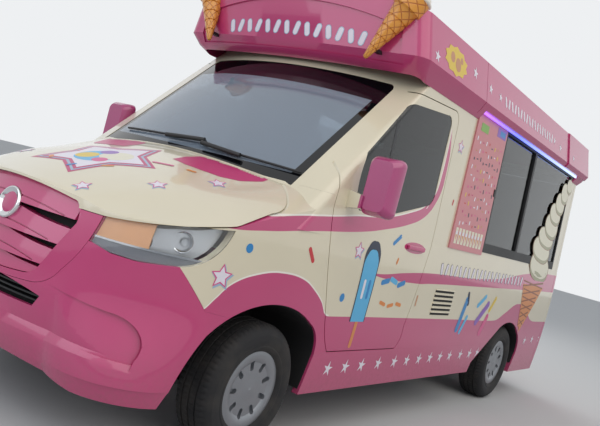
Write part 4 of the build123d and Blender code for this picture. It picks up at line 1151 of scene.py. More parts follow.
# Gelcoat over glass fibre, sprayed cream white: smooth, with a soft plastic sheen.
swirl_white = moulded("grp_gelcoat_cream_white", "EFE9DC", 0.28, 3.0, 0.1, spread=0.04)
print("glaze lines every", round(1000 * WAFER_PITCH), "mm")

# %% Cornets
CONE_FOOT = Vector((FRONT_AXLE_X - 0.655, 0.655, 2.268))
CONE_LEAN_OUT, CONE_LEAN_BACK = 24, 12
CONE_TIP_R, CONE_TIP_Z = 16, 12
CONE_TOP_R, CONE_TOP_Z = 82, 360
CONE_RINGS = 4
CONE_CUP = [(82, 358), (89, 366), (104, 374), (104, 458), (98, 465), (1, 465)]
SWIRL_FOOT_Z = 463
# lower radius and height, upper radius and height, bulge between them
SWIRL_TIERS = ((94, 0, 88, 56, 107), (88, 56, 68, 104, 87), (68, 104, 42, 146, 60), (42, 146, 9, 192, 32))
SWIRL_TOP = 196
SWIRL_SQUAT = 0.47
SWIRL_STEPS = 64
SWIRL_LOBES, LOBE_DEPTH = 6, 0.035
LOBE_TWIST, SWIRL_TWIST = 0.035, 0.004


def cone_profile():
    """Radius and height of the cone's foot, its rings and its cup."""
    profile = [(1, 0), (10, 2), (CONE_TIP_R, CONE_TIP_Z)]
    for k in range(1, CONE_RINGS + 1):
        r = CONE_TIP_R + (CONE_TOP_R - CONE_TIP_R) * k / (CONE_RINGS + 1)
        z = CONE_TIP_Z + (CONE_TOP_Z - CONE_TIP_Z) * k / (CONE_RINGS + 1)
        profile += [(r - 1, z - 5), (r - 5, z - 2), (r - 5, z + 2), (r + 2, z + 5)]
    return profile + CONE_CUP


def swirl_rings():
    """Level rings of the swirl: bulging tiers with soft lobes that twist as they rise."""
    profile = [(1, 0)]
    for r0, z0, r1, z1, bulge in SWIRL_TIERS:
        z0, z1 = z0 * SWIRL_SQUAT, z1 * SWIRL_SQUAT
        profile += [(r0 - 4, z0)] + arc_points((r0, z0), (bulge, (z0 + z1) / 2), (r1, z1), 8)
    profile += [(1, SWIRL_TOP * SWIRL_SQUAT)]
    rings = []
    for r, z in profile:
        ring = []
        for k in range(SWIRL_STEPS):
            lobed = r * (1 + LOBE_DEPTH * math.sin(SWIRL_LOBES * math.tau * k / SWIRL_STEPS
                                                   + z * LOBE_TWIST))
            angle = math.tau * k / SWIRL_STEPS + z * SWIRL_TWIST
            ring.append((lobed * math.cos(angle), lobed * math.sin(angle), SWIRL_FOOT_Z + z))
        rings.append(ring)
    return rings


for side, word in SIDES:
    tilt = (Matrix.Rotation(math.radians(-CONE_LEAN_OUT * side), 4, "X")
            @ Matrix.Rotation(math.radians(-CONE_LEAN_BACK), 4, "Y"))
    foot = Matrix.Translation((CONE_FOOT.x, side * CONE_FOOT.y, CONE_FOOT.z)) @ tilt
    cornet = turned_solid("cornet", cone_profile(), Vector(), UP, 56)
    cornet.data.transform(foot)
    finish_piece(cornet, f"cornet_{word}", waffle_glaze(f"wafer_glaze_{word}", foot),
                 stands_for=("cones",), angle=40)
    swirl = stack("swirl", swirl_rings())
    swirl.data.transform(foot)
    finish_piece(swirl, f"cornet_swirl_{word}", swirl_white, stands_for=("cones",), angle=60)
    bracket = from_side([(-800, 2325), (-675, 2325), (-675, 2345), (-800, 2345)],
                        *flank_span(side, 670, 705))
    finish_piece(bracket, f"cornet_bracket_{word}", chassis_paint)
print("cornets ready")

# %% [markdown]
# The serving hatch is a black aluminium frame with a deep lower rail and one upright, flush with a
# wall that leans in towards the roof. The slabs below follow that lean: their outer face is set by
# the wall's half width at each height. The panes are separate slabs, sunk a few millimetres.

# %% Windows
# height, half width of the body
HALF_WIDTHS = [(1200, 979), (1500, 965), (1850, 947), (2200, 929), (2450, 915)]
SLAB_CUTS = 8
BAR, HALF_POST = 28, 22
# side, name, rear and front end, foot, top, height of the lower rail, middle of the upright
WINDOWS = ((1, "left", -4560, -2520, 1312, 2300, 75, -3330),
           (-1, "right", -3900, -2520, 1420, 2200, 28, -3210))


def flank_slab(name, x0, x1, z0, z1, out, thick, side=1):
    """Slab in the flank between two places along and up the van; out is how proud it stands."""
    rings = []
    for k in range(SLAB_CUTS + 1):
        z = z0 + (z1 - z0) * k / SLAB_CUTS
        outer = smooth_row(HALF_WIDTHS, z)[0] + out
        rings.append([(ahead_mm(x), side * y, z) for x, y in
                      ((x0, outer), (x1, outer), (x1, outer - thick), (x0, outer - thick))])
    return stack(name, rings)


window_parts = []
for side, word, x0, x1, z0, z1, rail, post in WINDOWS:
    bars = ((x0, x1, z0, z0 + rail), (x0, x1, z1 - BAR, z1), (x0, x0 + BAR, z0, z1),
            (x1 - BAR, x1, z0, z1), (post - HALF_POST, post + HALF_POST, z0, z1))
    for k, limits in enumerate(bars):
        bar = flank_slab("bar", *limits, 4, 40, side)
        finish_piece(bar, f"hatch_bar_{word}_{k}", black_plastic, stands_for=("window_frames",),
                     bevel=0.002)
        window_parts.append(bar)
    for k, ends in enumerate(((x0 + BAR, post - HALF_POST), (post + HALF_POST, x1 - BAR))):
        pane = flank_slab("pane", *ends, z0 + rail, z1 - BAR, -8 - 8 * k, 6, side)
        finish_piece(pane, f"hatch_pane_{word}_{k}", hatch_glass, stands_for=("window_glass",))
        window_parts.append(pane)
print("window pieces", len(window_parts))

# %% [markdown]
# Nearly everything printed on the van is cut vinyl, laid by hand. Each motif here is a flat outline
# that is dropped on the body along one direction, so it follows the panel's curve. It lies about a
# millimetre proud, enough to catch an edge of light as film does. The motifs are the ones common to
# such vans: stars, sprinkles, dots, lollies and a cornet.

# %% Vinyl films
def vinyl(name, colour, rough=0.3):
    """Cut film: flat colour with a faint unevenness in its sheen."""
    material, tree, surface = new_material(name)
    place = (add(tree, "TexCoord"), "Object")
    cloud = add(tree, "TexNoise", {"Vector": place, "Scale": 30.0, "Detail": 3.0})
    tone = add(tree, "MapRange", {"Value": (cloud, "Fac"), "To Min": 0.95, "To Max": 1.04})
    varied = add(tree, "HueSaturation", {"Color": linear(colour), "Value": (tone, 0)})
    feed(tree, surface, {"Base Color": (varied, 0), "Roughness": rough})
    return material


film = {word: vinyl("vinyl_" + word, colour) for word, colour in (
    ("lilac_white", "E9E4EE"), ("pink", "D9578F"), ("rose", ROSE), ("pale_blue", "9DB8CE"),
    ("blue", "2F86C6"), ("sky", "59B4E2"), ("navy", "1C2740"), ("orange", "E08A45"),
    ("red", "C9383F"), ("brown", "C58A62"), ("yellow", "E2C23C"), ("green", "7FB04A"),
    ("purple", "8C5FB8"), ("wafer", "D98B4E"), ("wafer_dark", "8E4C22"), ("swirl", "E6E2CB"),
    ("swirl_shade", "A9A887"), ("black", "15161A"))}
print(len(film), "films")

# %% Laying an outline on a surface
STAND_OFF, RAY_REACH = 0.4, 0.9
SPLIT_ROUNDS = 6
sheets = {}


def surface_of(*objects):
    """Search tree over the faces of some objects."""
    verts, faces = [], []
    for thing in objects:
        start = len(verts)
        verts += [thing.matrix_world @ v.co for v in thing.data.vertices]
        faces += [[start + i for i in p.vertices] for p in thing.data.polygons]
    return BVHTree.FromPolygons(verts, faces)


def film_mesh(points, place, right, up, fine):
    """Flat mesh of an outline, split until no edge is longer than fine millimetres."""
    shape = bmesh.new()
    shape.faces.new([shape.verts.new(place + (right * u + up * v) * MM) for u, v in points])
    shape.normal_update()
    bmesh.ops.triangulate(shape, faces=shape.faces[:])
    for _ in range(SPLIT_ROUNDS):
        long = [e for e in shape.edges if e.calc_length() > fine * MM]
        if not long:
            break
        bmesh.ops.subdivide_edges(shape, edges=long, cuts=1)
        bmesh.ops.triangulate(shape, faces=[f for f in shape.faces if len(f.verts) > 3])
    return shape


def stick(points, place, right, up, skin, film_name, body, lift=1.0, fine=24):
    """Lay an outline, in mm about a place in the van's frame, on a surface and keep it for its sheet."""
    facing = right.cross(up)
    shape = film_mesh(points, place, right, up, fine)
    lost = []
    for vert in shape.verts:
        hit, normal, _, _ = skin.ray_cast(vert.co + facing * STAND_OFF, -facing, RAY_REACH)
        if hit is None:
            lost.append(vert)
            continue
        if normal.dot(facing) < 0:
            normal = -normal
        vert.co = hit + normal * lift * MM
    bmesh.ops.delete(shape, geom=lost, context="VERTS")
    verts, faces = sheets.setdefault((film_name, body), ([], []))
    start = len(verts)
    for index, vert in enumerate(shape.verts):
        vert.index = index
        verts.append(tuple(vert.co))
    for face in shape.faces:
        corners = [start + v.index for v in face.verts]
        if face.normal.dot(facing) < 0:
            corners.reverse()
        faces.append(corners)
    shape.free()


trial = film_mesh([(0, 0), (100, 0), (100, 100), (0, 100)], Vector(), ACROSS, UP, 24)
print("a 100 mm square of film has", len(trial.faces), "faces")
trial.free()

# %% Motif outlines
def polar(radii, turn=0.0):
    """Closed line through radii at even angles, clockwise from straight up."""
    pitch = 360 / len(radii)
    return [(r * math.sin(math.radians(pitch * k + turn)), r * math.cos(math.radians(pitch * k + turn)))
            for k, r in enumerate(radii)]


def star(r, inner=0.45, turn=0.0):
    """Five-pointed star of reach r."""
    return polar([r, r * inner] * 5, turn)


def capsule(length, width, turn):
    """Sprinkle: a bar with round ends, its length turned from level."""
    r = width / 2
    half = length / 2 - r
    line = [(half + r * math.cos(a), r * math.sin(a)) for a in
            [math.radians(-90 + 22.5 * k) for k in range(9)]]
    line += [(-x, -y) for x, y in line]
    c, s = math.cos(math.radians(turn)), math.sin(math.radians(turn))
    return [(x * c - y * s, x * s + y * c) for x, y in line]


def disc(r):
    """Round dot."""
    return [(r * math.cos(math.tau * k / 28), r * math.sin(math.tau * k / 28)) for k in range(28)]


def patch(w, h):
    """Rectangle about its centre."""
    return [(-w / 2, -h / 2), (w / 2, -h / 2), (w / 2, h / 2), (-w / 2, h / 2)]


def outlined_star(r, place, right, up, skin, body, turn=0.0):
    """The van's usual star: blue shadow, pink rim, lilac-white face."""
    shifted = place + right * 0.006 - up * 0.007
    stick(star(r * 1.08, 0.5, turn), shifted, right, up, skin, "pale_blue", body, 0.7)
    stick(star(r, 0.5, turn), place, right, up, skin, "pink", body, 1.0)
    stick(star(r * 0.8, 0.48, turn), place, right, up, skin, "lilac_white", body, 1.3)


def skin_of_nodes(*names):
    """Search tree over some CAD nodes."""
    return surface_of(*[nodes[name] for name in names])


skins = {
    "bonnet": surface_of(lid),
    "header": surface_of(header, cap),
    "screen": skin_of_nodes("windscreen"),
    "menu": skin_of_nodes("menu_board"),
}
for side, word in SIDES:
    skins["side_" + word] = skin_of_nodes("fender_" + word, "cab_shell", "body_side_" + word, "sill_skirts")
    skins["door_" + word] = skin_of_nodes("door_" + word)
    skins["door_glass_" + word] = skin_of_nodes("door_glass_" + word)
    skins["glazed_" + word] = surface_of(nodes["body_side_" + word], nodes["rear_frame"], *window_parts)
print("surfaces for film:", sorted(skins))

# %% [markdown]
# On the bonnet lie a big star with discs in it, two swooshes towards the screen, small outlined stars
# and a few loose sprinkles. They are dropped straight down, since the bonnet looks up.

# %% Bonnet motifs
OVER_BONNET_Z = 1.6
SWOOSH = [(.221, .208), (.126, .199), (.043, .227), (.010, .303), (-.031, .467), (-.056, .613),
          (-.055, .672), (.002, .672), (.107, .611), (.173, .528), (.209, .413), (.227, .315)]
BIG_STAR = (0.49, -0.02)


def on_bonnet(points, x, y, film_name, lift=1.0):
    """Lay an outline on the bonnet, x ahead of the axle; outlines run (y, rearward)."""
    stick(points, Vector((ahead(x), y, OVER_BONNET_Z)), ACROSS, -ALONG, skins["bonnet"], film_name,
          "bonnet_lid", lift)


for side, _ in SIDES:
    on_bonnet([(side * y * 1000, -x * 1000) for x, y in SWOOSH], 0, 0, "rose")
for x, y, r in ((.836, .323, 46), (.555, .505, 50), (.242, .588, 50), (.62, -.50, 50)):
    outlined_star(r, Vector((ahead(x), y, OVER_BONNET_Z)), ACROSS, -ALONG, skins["bonnet"],
                  "bonnet_lid", 12)
for r, colour, lift in ((350, "rose", 0.7), (322, "pale_blue", 1.0), (300, "rose", 1.3),
                        (272, "lilac_white", 1.6)):
    on_bonnet(star(r, 0.62, 8), *BIG_STAR, colour, lift)
for x, y, r, colour in ((.52, -.02, 120, "sky"), (.46, .05, 88, "swirl"), (.55, -.07, 60, "yellow"),
                        (.43, -.05, 48, "purple"), (.57, .06, 40, "pink")):
    on_bonnet(disc(r), x, y, colour, 1.9 + 0.002 * (120 - r))
for x, y, length, turn, colour in ((.605, .177, 62, 48, "orange"), (.684, -.175, 60, -40, "orange"),
                                   (.270, .414, 58, 20, "orange"), (.337, .270, 120, 30, "pink"),
                                   (.004, -.262, 55, 60, "orange"), (.72, .05, 52, 80, "blue")):
    on_bonnet(capsule(length, 20, turn), x, y, colour, 2.2)
print("bonnet motifs", len(sheets), "sheets")

# %% [markdown]
# The flanks carry most of the film: stars along the sill, sprinkles and outlined stars, a lolly and
# ribbons on the door, loose bars of colour, and a row of slanting bars on the belt. Each is dropped
# level from beside the van. The right side repeats the left, mirrored.

# %% Side motifs
BESIDE = 1.05
RIGHTWARD = {1: -ALONG, -1: ALONG}
SILL_STARS = (-.636, -.833, -1.029, -1.249, -1.477, -1.668, -1.863, -2.054, -2.239, -2.424, -2.643,
              -2.842, -3.017)
REAR_STARS = (-4.252, -4.491, -4.729)
BELT_BARS = 22


def side_place(x, z, side):
    """A place out beside the van and the sticker's rightward direction."""
    return Vector((ahead(x), side * BESIDE, z)), RIGHTWARD[side]


def on_side(points, x, z, film_name, part="side", side=1, lift=1.0, fine=24, skin=None):
    """Lay an outline on one flank, x ahead of the front axle; outlines run (rearward, up)."""
    place, right = side_place(x, z, side)
    points = points if side > 0 else [(-u, v) for u, v in points]
    word = dict(SIDES)[side]
    body = f"cab_door_{word}" if part == "door" else "body"
    stick(points, place, right, UP, skins[skin or f"{part}_{word}"], film_name, body, lift, fine)


# outline, place, height, film, part
LOOSE_MOTIFS = ((disc(23), .309, 1.065, "blue", "side"),
                (capsule(98, 26, -52), -.164, 1.082, "red", "side"),
                (disc(25), -.561, .870, "blue", "door"),
                (capsule(118, 27, 34), -1.066, 1.258, "blue", "door"),
                (capsule(46, 20, 70), -1.125, 1.127, "orange", "door"),
                (capsule(80, 18, 88), -1.537, .884, "brown", "side"),
                (capsule(44, 20, 80), -1.773, 1.602, "red", "side"))
for side, word in SIDES:
    for k, x in enumerate(SILL_STARS):
        on_side(star(50, 0.34, 8), x, 0.442 + 0.0023 * k, "lilac_white", side=side)
    for k, x in enumerate(REAR_STARS):
        on_side(star(50, 0.34, 8), x, 0.562 + 0.008 * k, "lilac_white", side=side)
    outlined_star(62, Vector((ahead(.435) + 0.02, side * 0.96, .915)), Vector((-.866 * side, .5, 0)), UP,
                  skins["side_" + word], "body")
    outlined_star(54, *side_place(-.625, 1.150, side), UP, skins["door_" + word], "cab_door_" + word)
    outlined_star(50, *side_place(-1.700, 1.990, side), UP, skins["side_" + word], "body")
    for points, x, z, colour, part in LOOSE_MOTIFS:
        on_side(points, x, z, colour, part, side)
    for k in range(BELT_BARS):
        x = -1.83 - 1.83 * k / (BELT_BARS - 1)
        z = 1.125 + 0.012 * k / BELT_BARS
        turn = 76 if k % 2 else 102
        on_side(capsule(92, 40, turn), x, z, "navy", side=side, lift=0.9)
        on_side(capsule(84, 30, turn), x, z, "lilac_white", side=side, lift=1.3)
print("side motifs", len(sheets), "sheets")

# %% [markdown]
# The door's lolly is laid in layers, as a sign maker would: a dark edge, the blue ice, its stick and
# two lines down its face. The ribbons and bars beside it are bars with round ends, one film each.

# %% Lolly, ribbons and bars of colour
LOLLY = [(-78, 0), (-84, 330), (-60, 410, -78, 380), (0, 440, -34, 436), (60, 410, 34, 436),
         (84, 330, 78, 380), (78, 0)]
# place, height, turn, film, length, width
RIBBONS = ((-1.03, .99, 12, "blue", 110, 34), (-1.14, 1.00, -14, "sky", 110, 34),
           (-1.25, .985, 16, "blue", 110, 34), (-1.06, .85, -12, "orange", 84, 24),
           (-1.17, .84, 10, "orange", 84, 24), (-1.28, .85, -8, "orange", 84, 24))
BARS = ((-2.42, .80, 75, "blue", 300, 60), (-2.50, .72, 60, "sky", 180, 40),
        (-2.47, .93, 110, "navy", 120, 40), (-2.85, .82, 40, "purple", 300, 60),
        (-2.95, .72, 60, "pink", 220, 60), (-2.78, .92, 30, "sky", 200, 40),
        (-3.05, .90, 50, "yellow", 180, 40))
for side, word in SIDES:
    for grow, colour, lift in ((1.12, "navy", 1.0), (1.0, "sky", 1.4)):
        on_side([(u * grow, 30 + v * grow) for u, v in outline(LOLLY, 8)], -.800, .700, colour,
                "door", side, lift)
    on_side(capsule(250, 34, 90), -.800, .690, "wafer", "door", side, 0.8)
    on_side(capsule(120, 26, 90), -.775, .930, "lilac_white", "door", side, 1.9)
    on_side(capsule(120, 26, 90), -.835, .930, "blue", "door", side, 1.9)
    for x, z, turn, colour, length, width in RIBBONS:
        on_side(capsule(length, width, turn), x, z, colour, "door", side)
    for x, z, turn, colour, length, width in BARS:
        on_side(capsule(length, width, turn), x, z, colour, side=side, lift=1.2)
print("lolly and ribbons", len(sheets), "sheets")

# %% [markdown]
# A cornet with a tall swirl covers the rear corner and part of the glass. On the van the film runs
# over the window's frame as if it were flat, so the swirl is dropped on an even slab in the wall's
# lean instead of on the stepped frame. Each lobe is a dark rim, a shade and a pale face in layers.

# %% Cornet decal
CONE_DECAL = [(-3.905, .650), (-3.740, 1.120), (-4.385, 1.110), (-3.955, .650)]
LOBES = [(-3.845, 1.210), (-3.795, 1.394), (-3.790, 1.536), (-3.985, 1.641), (-4.040, 1.787),
         (-4.125, 1.900), (-4.281, 2.020), (-4.358, 2.137), (-4.560, 2.200)]
LOBE_POINTS = 36
DECAL_FINE = 70
# size, drop, squash, film, lift
LOBE_LAYERS = ((1.0, 0, 1, "wafer_dark", 0), (0.975, 2, 1, "swirl_shade", 0.15),
               (0.93, 12, 0.86, "swirl", 0.3))


def lobe_outline(wide, tall):
    """Rounded lobe that droops to the rear; wide is in metres, tall in millimetres."""
    lobe = []
    for j in range(LOBE_POINTS):
        a = math.tau * j / LOBE_POINTS
        flat = abs(math.cos(a)) ** 0.75 * math.copysign(1, math.cos(a))
        lobe.append((flat * 520 * wide, math.sin(a) * 0.56 * tall - 0.13 * flat * 520 * wide))
    return lobe


def on_flank(points, colour, lift, side):
    """Lay an outline given in (x ahead, z) metres on the glazed rear flank."""
    on_side([(-x * 1000, z * 1000) for x, z in points], 0, 0, colour, side=side, lift=lift,
            fine=DECAL_FINE, skin="glazed_" + dict(SIDES)[side])


for side, word in SIDES:
    even = flank_slab("even_skin", -4880, -3500, 1080, 2320, 5.5, 20, side)
    skins["swirl_" + word] = surface_of(even)
    bpy.data.objects.remove(even)
    on_flank(CONE_DECAL, "wafer", 1.5, side)
    for k in range(6):
        z = .72 + .075 * k
        reach = (z - .65) / .47
        a, b = -3.905 + .165 * reach, -3.955 - .43 * reach
        on_flank([(a, z), (a, z + .012), (b, z + .065), (b, z + .050)], "wafer_dark", 2.0, side)
        on_flank([(a, z + .050), (a, z + .062), (b, z + .012), (b, z)], "wafer_dark", 2.2, side)
    for k, ((x0, z0), (x1, z1)) in enumerate(zip(LOBES, LOBES[1:])):
        wide = 0.62 - 0.062 * k
        centre_u, centre_v = -1000 * (x0 + x1) / 2 + 500 * wide - 20, 500 * (z0 + z1)
        lobe = lobe_outline(wide, 1000 * (z1 - z0) + 70)
        for size, drop, squash, colour, lift in LOBE_LAYERS:
            line = [(centre_u + u * size, centre_v + v * size * squash + drop) for u, v in lobe]
            on_side(line, 0, 0, colour, side=side, lift=0.5 + 0.5 * k + lift, fine=DECAL_FINE,
                    skin="swirl_" + word)
print("cornet decal of", len(LOBES) - 1, "lobes")

# %% [markdown]
# The header has stars, a ragged yellow tag with brown discs, and rows of slanting capsules on both
# sides and across the front. Each capsule on the front has a blue edge, as two layers of film.

# %% Header motifs
TAG_PLACE = (-1.22, 2.455)
SIDE_CAPSULES, FRONT_CAPSULES = 18, 14
HEADER_STARS = ((-.93, 2.40, 40), (-1.557, 2.480, 44), (-1.863, 2.457, 40), (-2.073, 2.452, 36),
                (-3.547, 2.451, 36), (-3.757, 2.429, 40), (-4.2, 2.42, 36))
tag = []
for k in range(20):
    r = 1.0 if k % 2 else 0.84
    tag.append((190 * r * math.cos(math.tau * k / 20), 96 * r * math.sin(math.tau * k / 20)))
for side, word in SIDES:
    for x, z, r in HEADER_STARS:
        on_side(star(r, 0.42, 10), x, z, "lilac_white", side=side, skin="header")
    on_side(tag, *TAG_PLACE, "yellow", side=side, lift=1.2, skin="header")
    for u, v, r in ((-60, 12, 34), (30, -14, 44), (86, 26, 22)):
        on_side(disc(r), TAG_PLACE[0] - u * MM, TAG_PLACE[1] + v * MM, "brown", side=side, lift=1.6,
                skin="header")
    for k in range(SIDE_CAPSULES):
        x = -2.20 - 1.26 * k / (SIDE_CAPSULES - 1)
        on_side(capsule(82, 30, 74 if k % 2 else 106), x, 2.45, "lilac_white", side=side, skin="header")
for k in range(FRONT_CAPSULES):
    y = -0.53 + 1.09 * k / (FRONT_CAPSULES - 1)
    rise = 0.02 * (1 - (y / 0.56) ** 2)
    place = Vector((ahead(-0.45), y, 2.405 + rise))
    for length, width, colour, lift in ((96, 44, "pale_blue", 0.9), (86, 34, "lilac_white", 1.3)):
        stick(capsule(length, width, 76 if k % 2 else 104), place, ACROSS, UP, skins["header"], colour,
              "body", lift)
print("header motifs", len(sheets), "sheets")

# %% [markdown]
# The menu board is a printed sheet. Rows of small marks in the films' colours give it a busy look,
# and a row of plain cups closes it below. The marks are spread by remainders of whole numbers, which
# look irregular and come out the same on each run.

# %% Menu board, screen and door glass
MENU_ROWS, MENU_MARKS = 10, 9
MENU_PITCH = 0.062
coat_nodes(["menu_board"], vinyl("printed_menu_vinyl", "CF8288"))


def on_menu(points, x, z, colour, lift=0.8):
    """Lay an outline on the menu board."""
    on_side(points, x, z, colour, lift=lift, skin="menu")


on_menu(patch(150, 60), -2.03, 2.20, "green")
on_menu(patch(190, 70), -2.38, 2.235, "purple")
on_menu(patch(110, 40), -2.40, 2.235, "blue", 1.2)
tints = ("lilac_white", "red", "pink", "lilac_white", "brown", "rose", "yellow", "lilac_white", "navy")
for row in range(MENU_ROWS):
    for k in range(MENU_MARKS):
        x = -1.935 - MENU_PITCH * k - 0.011 * ((row * 5 + k * 3) % 3)
        z = 2.110 - 0.068 * row - 0.007 * ((row * 3 + k * 7) % 4)
        tint = tints[(row * 4 + k * 7 + row * k) % len(tints)]
        mark = (capsule(34, 17, 80 + 9 * (k % 3)), disc(11), patch(30, 9))[(row * 2 + k) % 3]
        on_menu(mark, x, z, tint)
for k in range(MENU_MARKS):
    x = -1.925 - MENU_PITCH * k
    on_menu(patch(44, 118), x, 1.385, "swirl")
    on_menu([(-13, 10), (13, 10), (0, -44)], x, 1.385, "wafer", 1.1)
    on_menu(disc(15), x, 1.405, "lilac_white", 1.3)
for side, word in SIDES:
    on_side(patch(30, 640), -.763, 1.71, "black", "door", side, 1.0, skin=f"door_glass_{word}")
for corners, colour in (([(.565, 2.025), (.651, 1.921), (.767, 1.970), (.720, 2.040)], "blue"),
                        ([(-.497, 2.026), (-.379, 1.974), (-.165, 1.999), (-.215, 2.035)], "brown")):
    stick([(y * 1000, z * 1000) for y, z in corners], Vector((2.4, 0, 0)), ACROSS, UP, skins["screen"],
          colour, "body", 0.8)
print("menu and glass motifs ready", len(sheets), "sheets")

# %% [markdown]
# The stickers are gathered into one sheet for each colour and each moving body, so a door takes its
# own motifs with it when it opens.

# %% Gather the sheets
for (film_name, body), (verts, faces) in sorted(sheets.items()):
    mesh = bpy.data.meshes.new(f"film_{film_name}_{body}")
    mesh.from_pydata(verts, [], faces)
    mesh.validate()
    mesh.materials.append(film[film_name])
    sheet = new_object(mesh.name, mesh)
    for face in mesh.polygons:
        face.use_smooth = True
    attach(sheet, body)
print("sheets", len(sheets), "faces", sum(len(f) for _, f in sheets.values()))

# %% [markdown]
# A van's tyre has three grooves round it and cross cuts in its shoulders, moulded into the rubber.
# The tyre is turned from its profile in small steps, and at every third step the tread is set lower,
# which cuts the cross grooves without a single Boolean.

# %% Tyres
TYRE_TRACK, TYRE_RADIUS = .845, .345
TYRE_STEPS = 210
SHOULDER_CUT, RIB_CUT = .006, .004
# radius and distance from the tyre's middle, in metres
TYRE_WALL = [(.205, .0955), (.213, .1040), (.221, .1095), (.228, .1110), (.231, .1125), (.236, .1125),
             (.239, .1110), (.258, .1165), (.275, .1175), (.292, .1155), (.296, .1155), (.299, .1140),
             (.311, .1095), (.324, .1005), (.335, .0895), (.341, .0790), (.345, .0655)]
TYRE_TREAD = [(.345, .0505), (.337, .0490), (.337, .0410), (.345, .0395), (.345, .0060),
              (.337, .0045), (.337, -.0045), (.345, -.0060), (.345, -.0395), (.337, -.0410),
              (.337, -.0490), (.345, -.0505)]
TYRE_PROFILE = TYRE_WALL + TYRE_TREAD + [(r, -y) for r, y in reversed(TYRE_WALL)]


def tread_cut(k, r, y):
    """How much lower the tread lies at one step round the tyre."""
    if r > .330 and abs(y) > .0520 and k % 3 == 0:
        return SHOULDER_CUT
    if r > .340 and .0060 <= abs(y) <= .0395 and (k + (1 if y > 0 else 0)) % 3 == 0:
        return RIB_CUT
    return 0.0


for word in wheels:
    x = FRONT_AXLE_X if "front" in word else REAR_AXLE_X
    middle = TYRE_TRACK if "left" in word else -TYRE_TRACK
    verts, faces = [], []
    n = len(TYRE_PROFILE)
    for k in range(TYRE_STEPS):
        angle = math.tau * k / TYRE_STEPS
        after = (k + 1) % TYRE_STEPS
        for j, (r, y) in enumerate(TYRE_PROFILE):
            depth = r - tread_cut(k, r, y)
            verts.append((x + depth * math.cos(angle), middle + y, TYRE_RADIUS + depth * math.sin(angle)))
            beside = (j + 1) % n
            faces.append((k * n + j, k * n + beside, after * n + beside, after * n + j))
    mesh = bpy.data.meshes.new("tyre")
    mesh.from_pydata(verts, [], faces)
    shape = bmesh.new()
    shape.from_mesh(mesh)
    bmesh.ops.recalc_face_normals(shape, faces=shape.faces)
    shape.to_mesh(mesh)
    shape.free()
    finish_piece(new_object("tyre", mesh), f"treaded_tyre_{word}", rubber, f"wheel_{word}",
                 (f"tyre_{word}",), angle=28)
print("tyres ready,", len(faces), "faces each")

# %% [markdown]
# Wipers are bent steel bars with a rubber blade, resting along the screen's foot. Their points are
# found by looking for the glass from ahead, so each bar follows the screen's bow at a set height.

# %% Wipers
BLADE_R, ARM_R = 7, 13
BLADE_LIFT, ARM_LIFT = .012, .028
BLADE_PARTS, ARM_PARTS = 14, 8


def tube(name, points, radius, material, body="body", sides=10):
    """Bar of round section through points in metres; its radius is in millimetres."""
    rings = []
    for k, point in enumerate(points):
        ahead_of = Vector(points[min(k + 1, len(points) - 1)]) - Vector(points[max(k - 1, 0)])
        turn = ahead_of.to_track_quat("Z", "Y").to_matrix()
        rings.append([Vector(point) / MM + turn @ Vector((radius * math.cos(math.tau * j / sides),
                                                          radius * math.sin(math.tau * j / sides), 0))
                      for j in range(sides)])
    return finish_piece(stack(name, rings), name, material, body, angle=45)


screen_skin = skin_of_nodes("windscreen", "cab_shell")


def on_screen(y, z, lift):
    """Place just outside the windscreen, or the scuttle below it, at a given y and height."""
    hit, normal, _, _ = screen_skin.ray_cast(Vector((4, y, z)), -ALONG, 5)
    return hit + normal * lift if hit else Vector((ahead(-0.02), y, z))


# name, blade from and to, height from and to, arm from and to
for word, start, end, z0, z1, arm0, arm1 in (("right", -.62, .143, 1.500, 1.520, -.149, .143),
                                             ("left", .145, .775, 1.500, 1.480, .145, .430)):
    for name, y0, y1, drop, parts, lift, radius in (
            ("wiper_blade", start, end, 0, BLADE_PARTS, BLADE_LIFT, BLADE_R),
            ("wiper_arm", arm0, arm1, .004, ARM_PARTS, ARM_LIFT, ARM_R)):
        points = [on_screen(y0 + (y1 - y0) * k / parts, z0 + (z1 - z0) * k / parts - drop, lift)
                  for k in range(parts + 1)]
        tube(f"{name}_{word}", points, radius, black_plastic)
print("wipers ready")

# %% [markdown]
# The doors' pull handles are sprayed with the van and stand on two feet. The mirror's glass is a
# silvered plate in the head's rear face. The mirror's head is rose and its arm cream, split by place.

# %% Door handles and mirrors
for side, word in SIDES:
    door = f"cab_door_{word}"
    grip = box_block(-1454, -1210, *flank_span(side, 985, 1001), 1214, 1246)
    finish_piece(grip, f"door_handle_{word}", rose_enamel, door, bevel=0.0075)
    for k, x in enumerate((-1440, -1236)):
        foot = box_block(x, x + 18, *flank_span(side, 955, 992), 1219, 1241)
        finish_piece(foot, f"door_handle_foot_{word}_{k}", rose_enamel, door, bevel=0.003)
    plate = box_block(-490, -487, *flank_span(side, 1035, 1205), 1380, 1670)
    finish_piece(plate, f"mirror_glass_{word}", chrome, door, bevel=0.001)

mirror_enamel, tree, surface = new_material("mirror_enamel")
_, xyz = place_in_model(tree)
wide = add(tree, "Math", {0: (xyz, "Y")}, operation="ABSOLUTE")
arm = join(tree, [step(tree, (wide, 0), 1.045, MM), step(tree, (xyz, "Z"), 1.475, MM)])
mixed = add(tree, "MixRGB", {0: (arm, 0), 1: linear("AE3D76"), 2: linear(CREAM)})
enamel(tree, surface, (mixed, 0))
coat_nodes(["mirror_left", "mirror_right"], mirror_enamel)
print("handles and mirrors ready")

# %% [markdown]
# A strip of coloured LEDs in a milky cover runs under the header and fades from violet through blue
# to a pale white. It glows on its own, so the colour is emission with a ramp along the van.

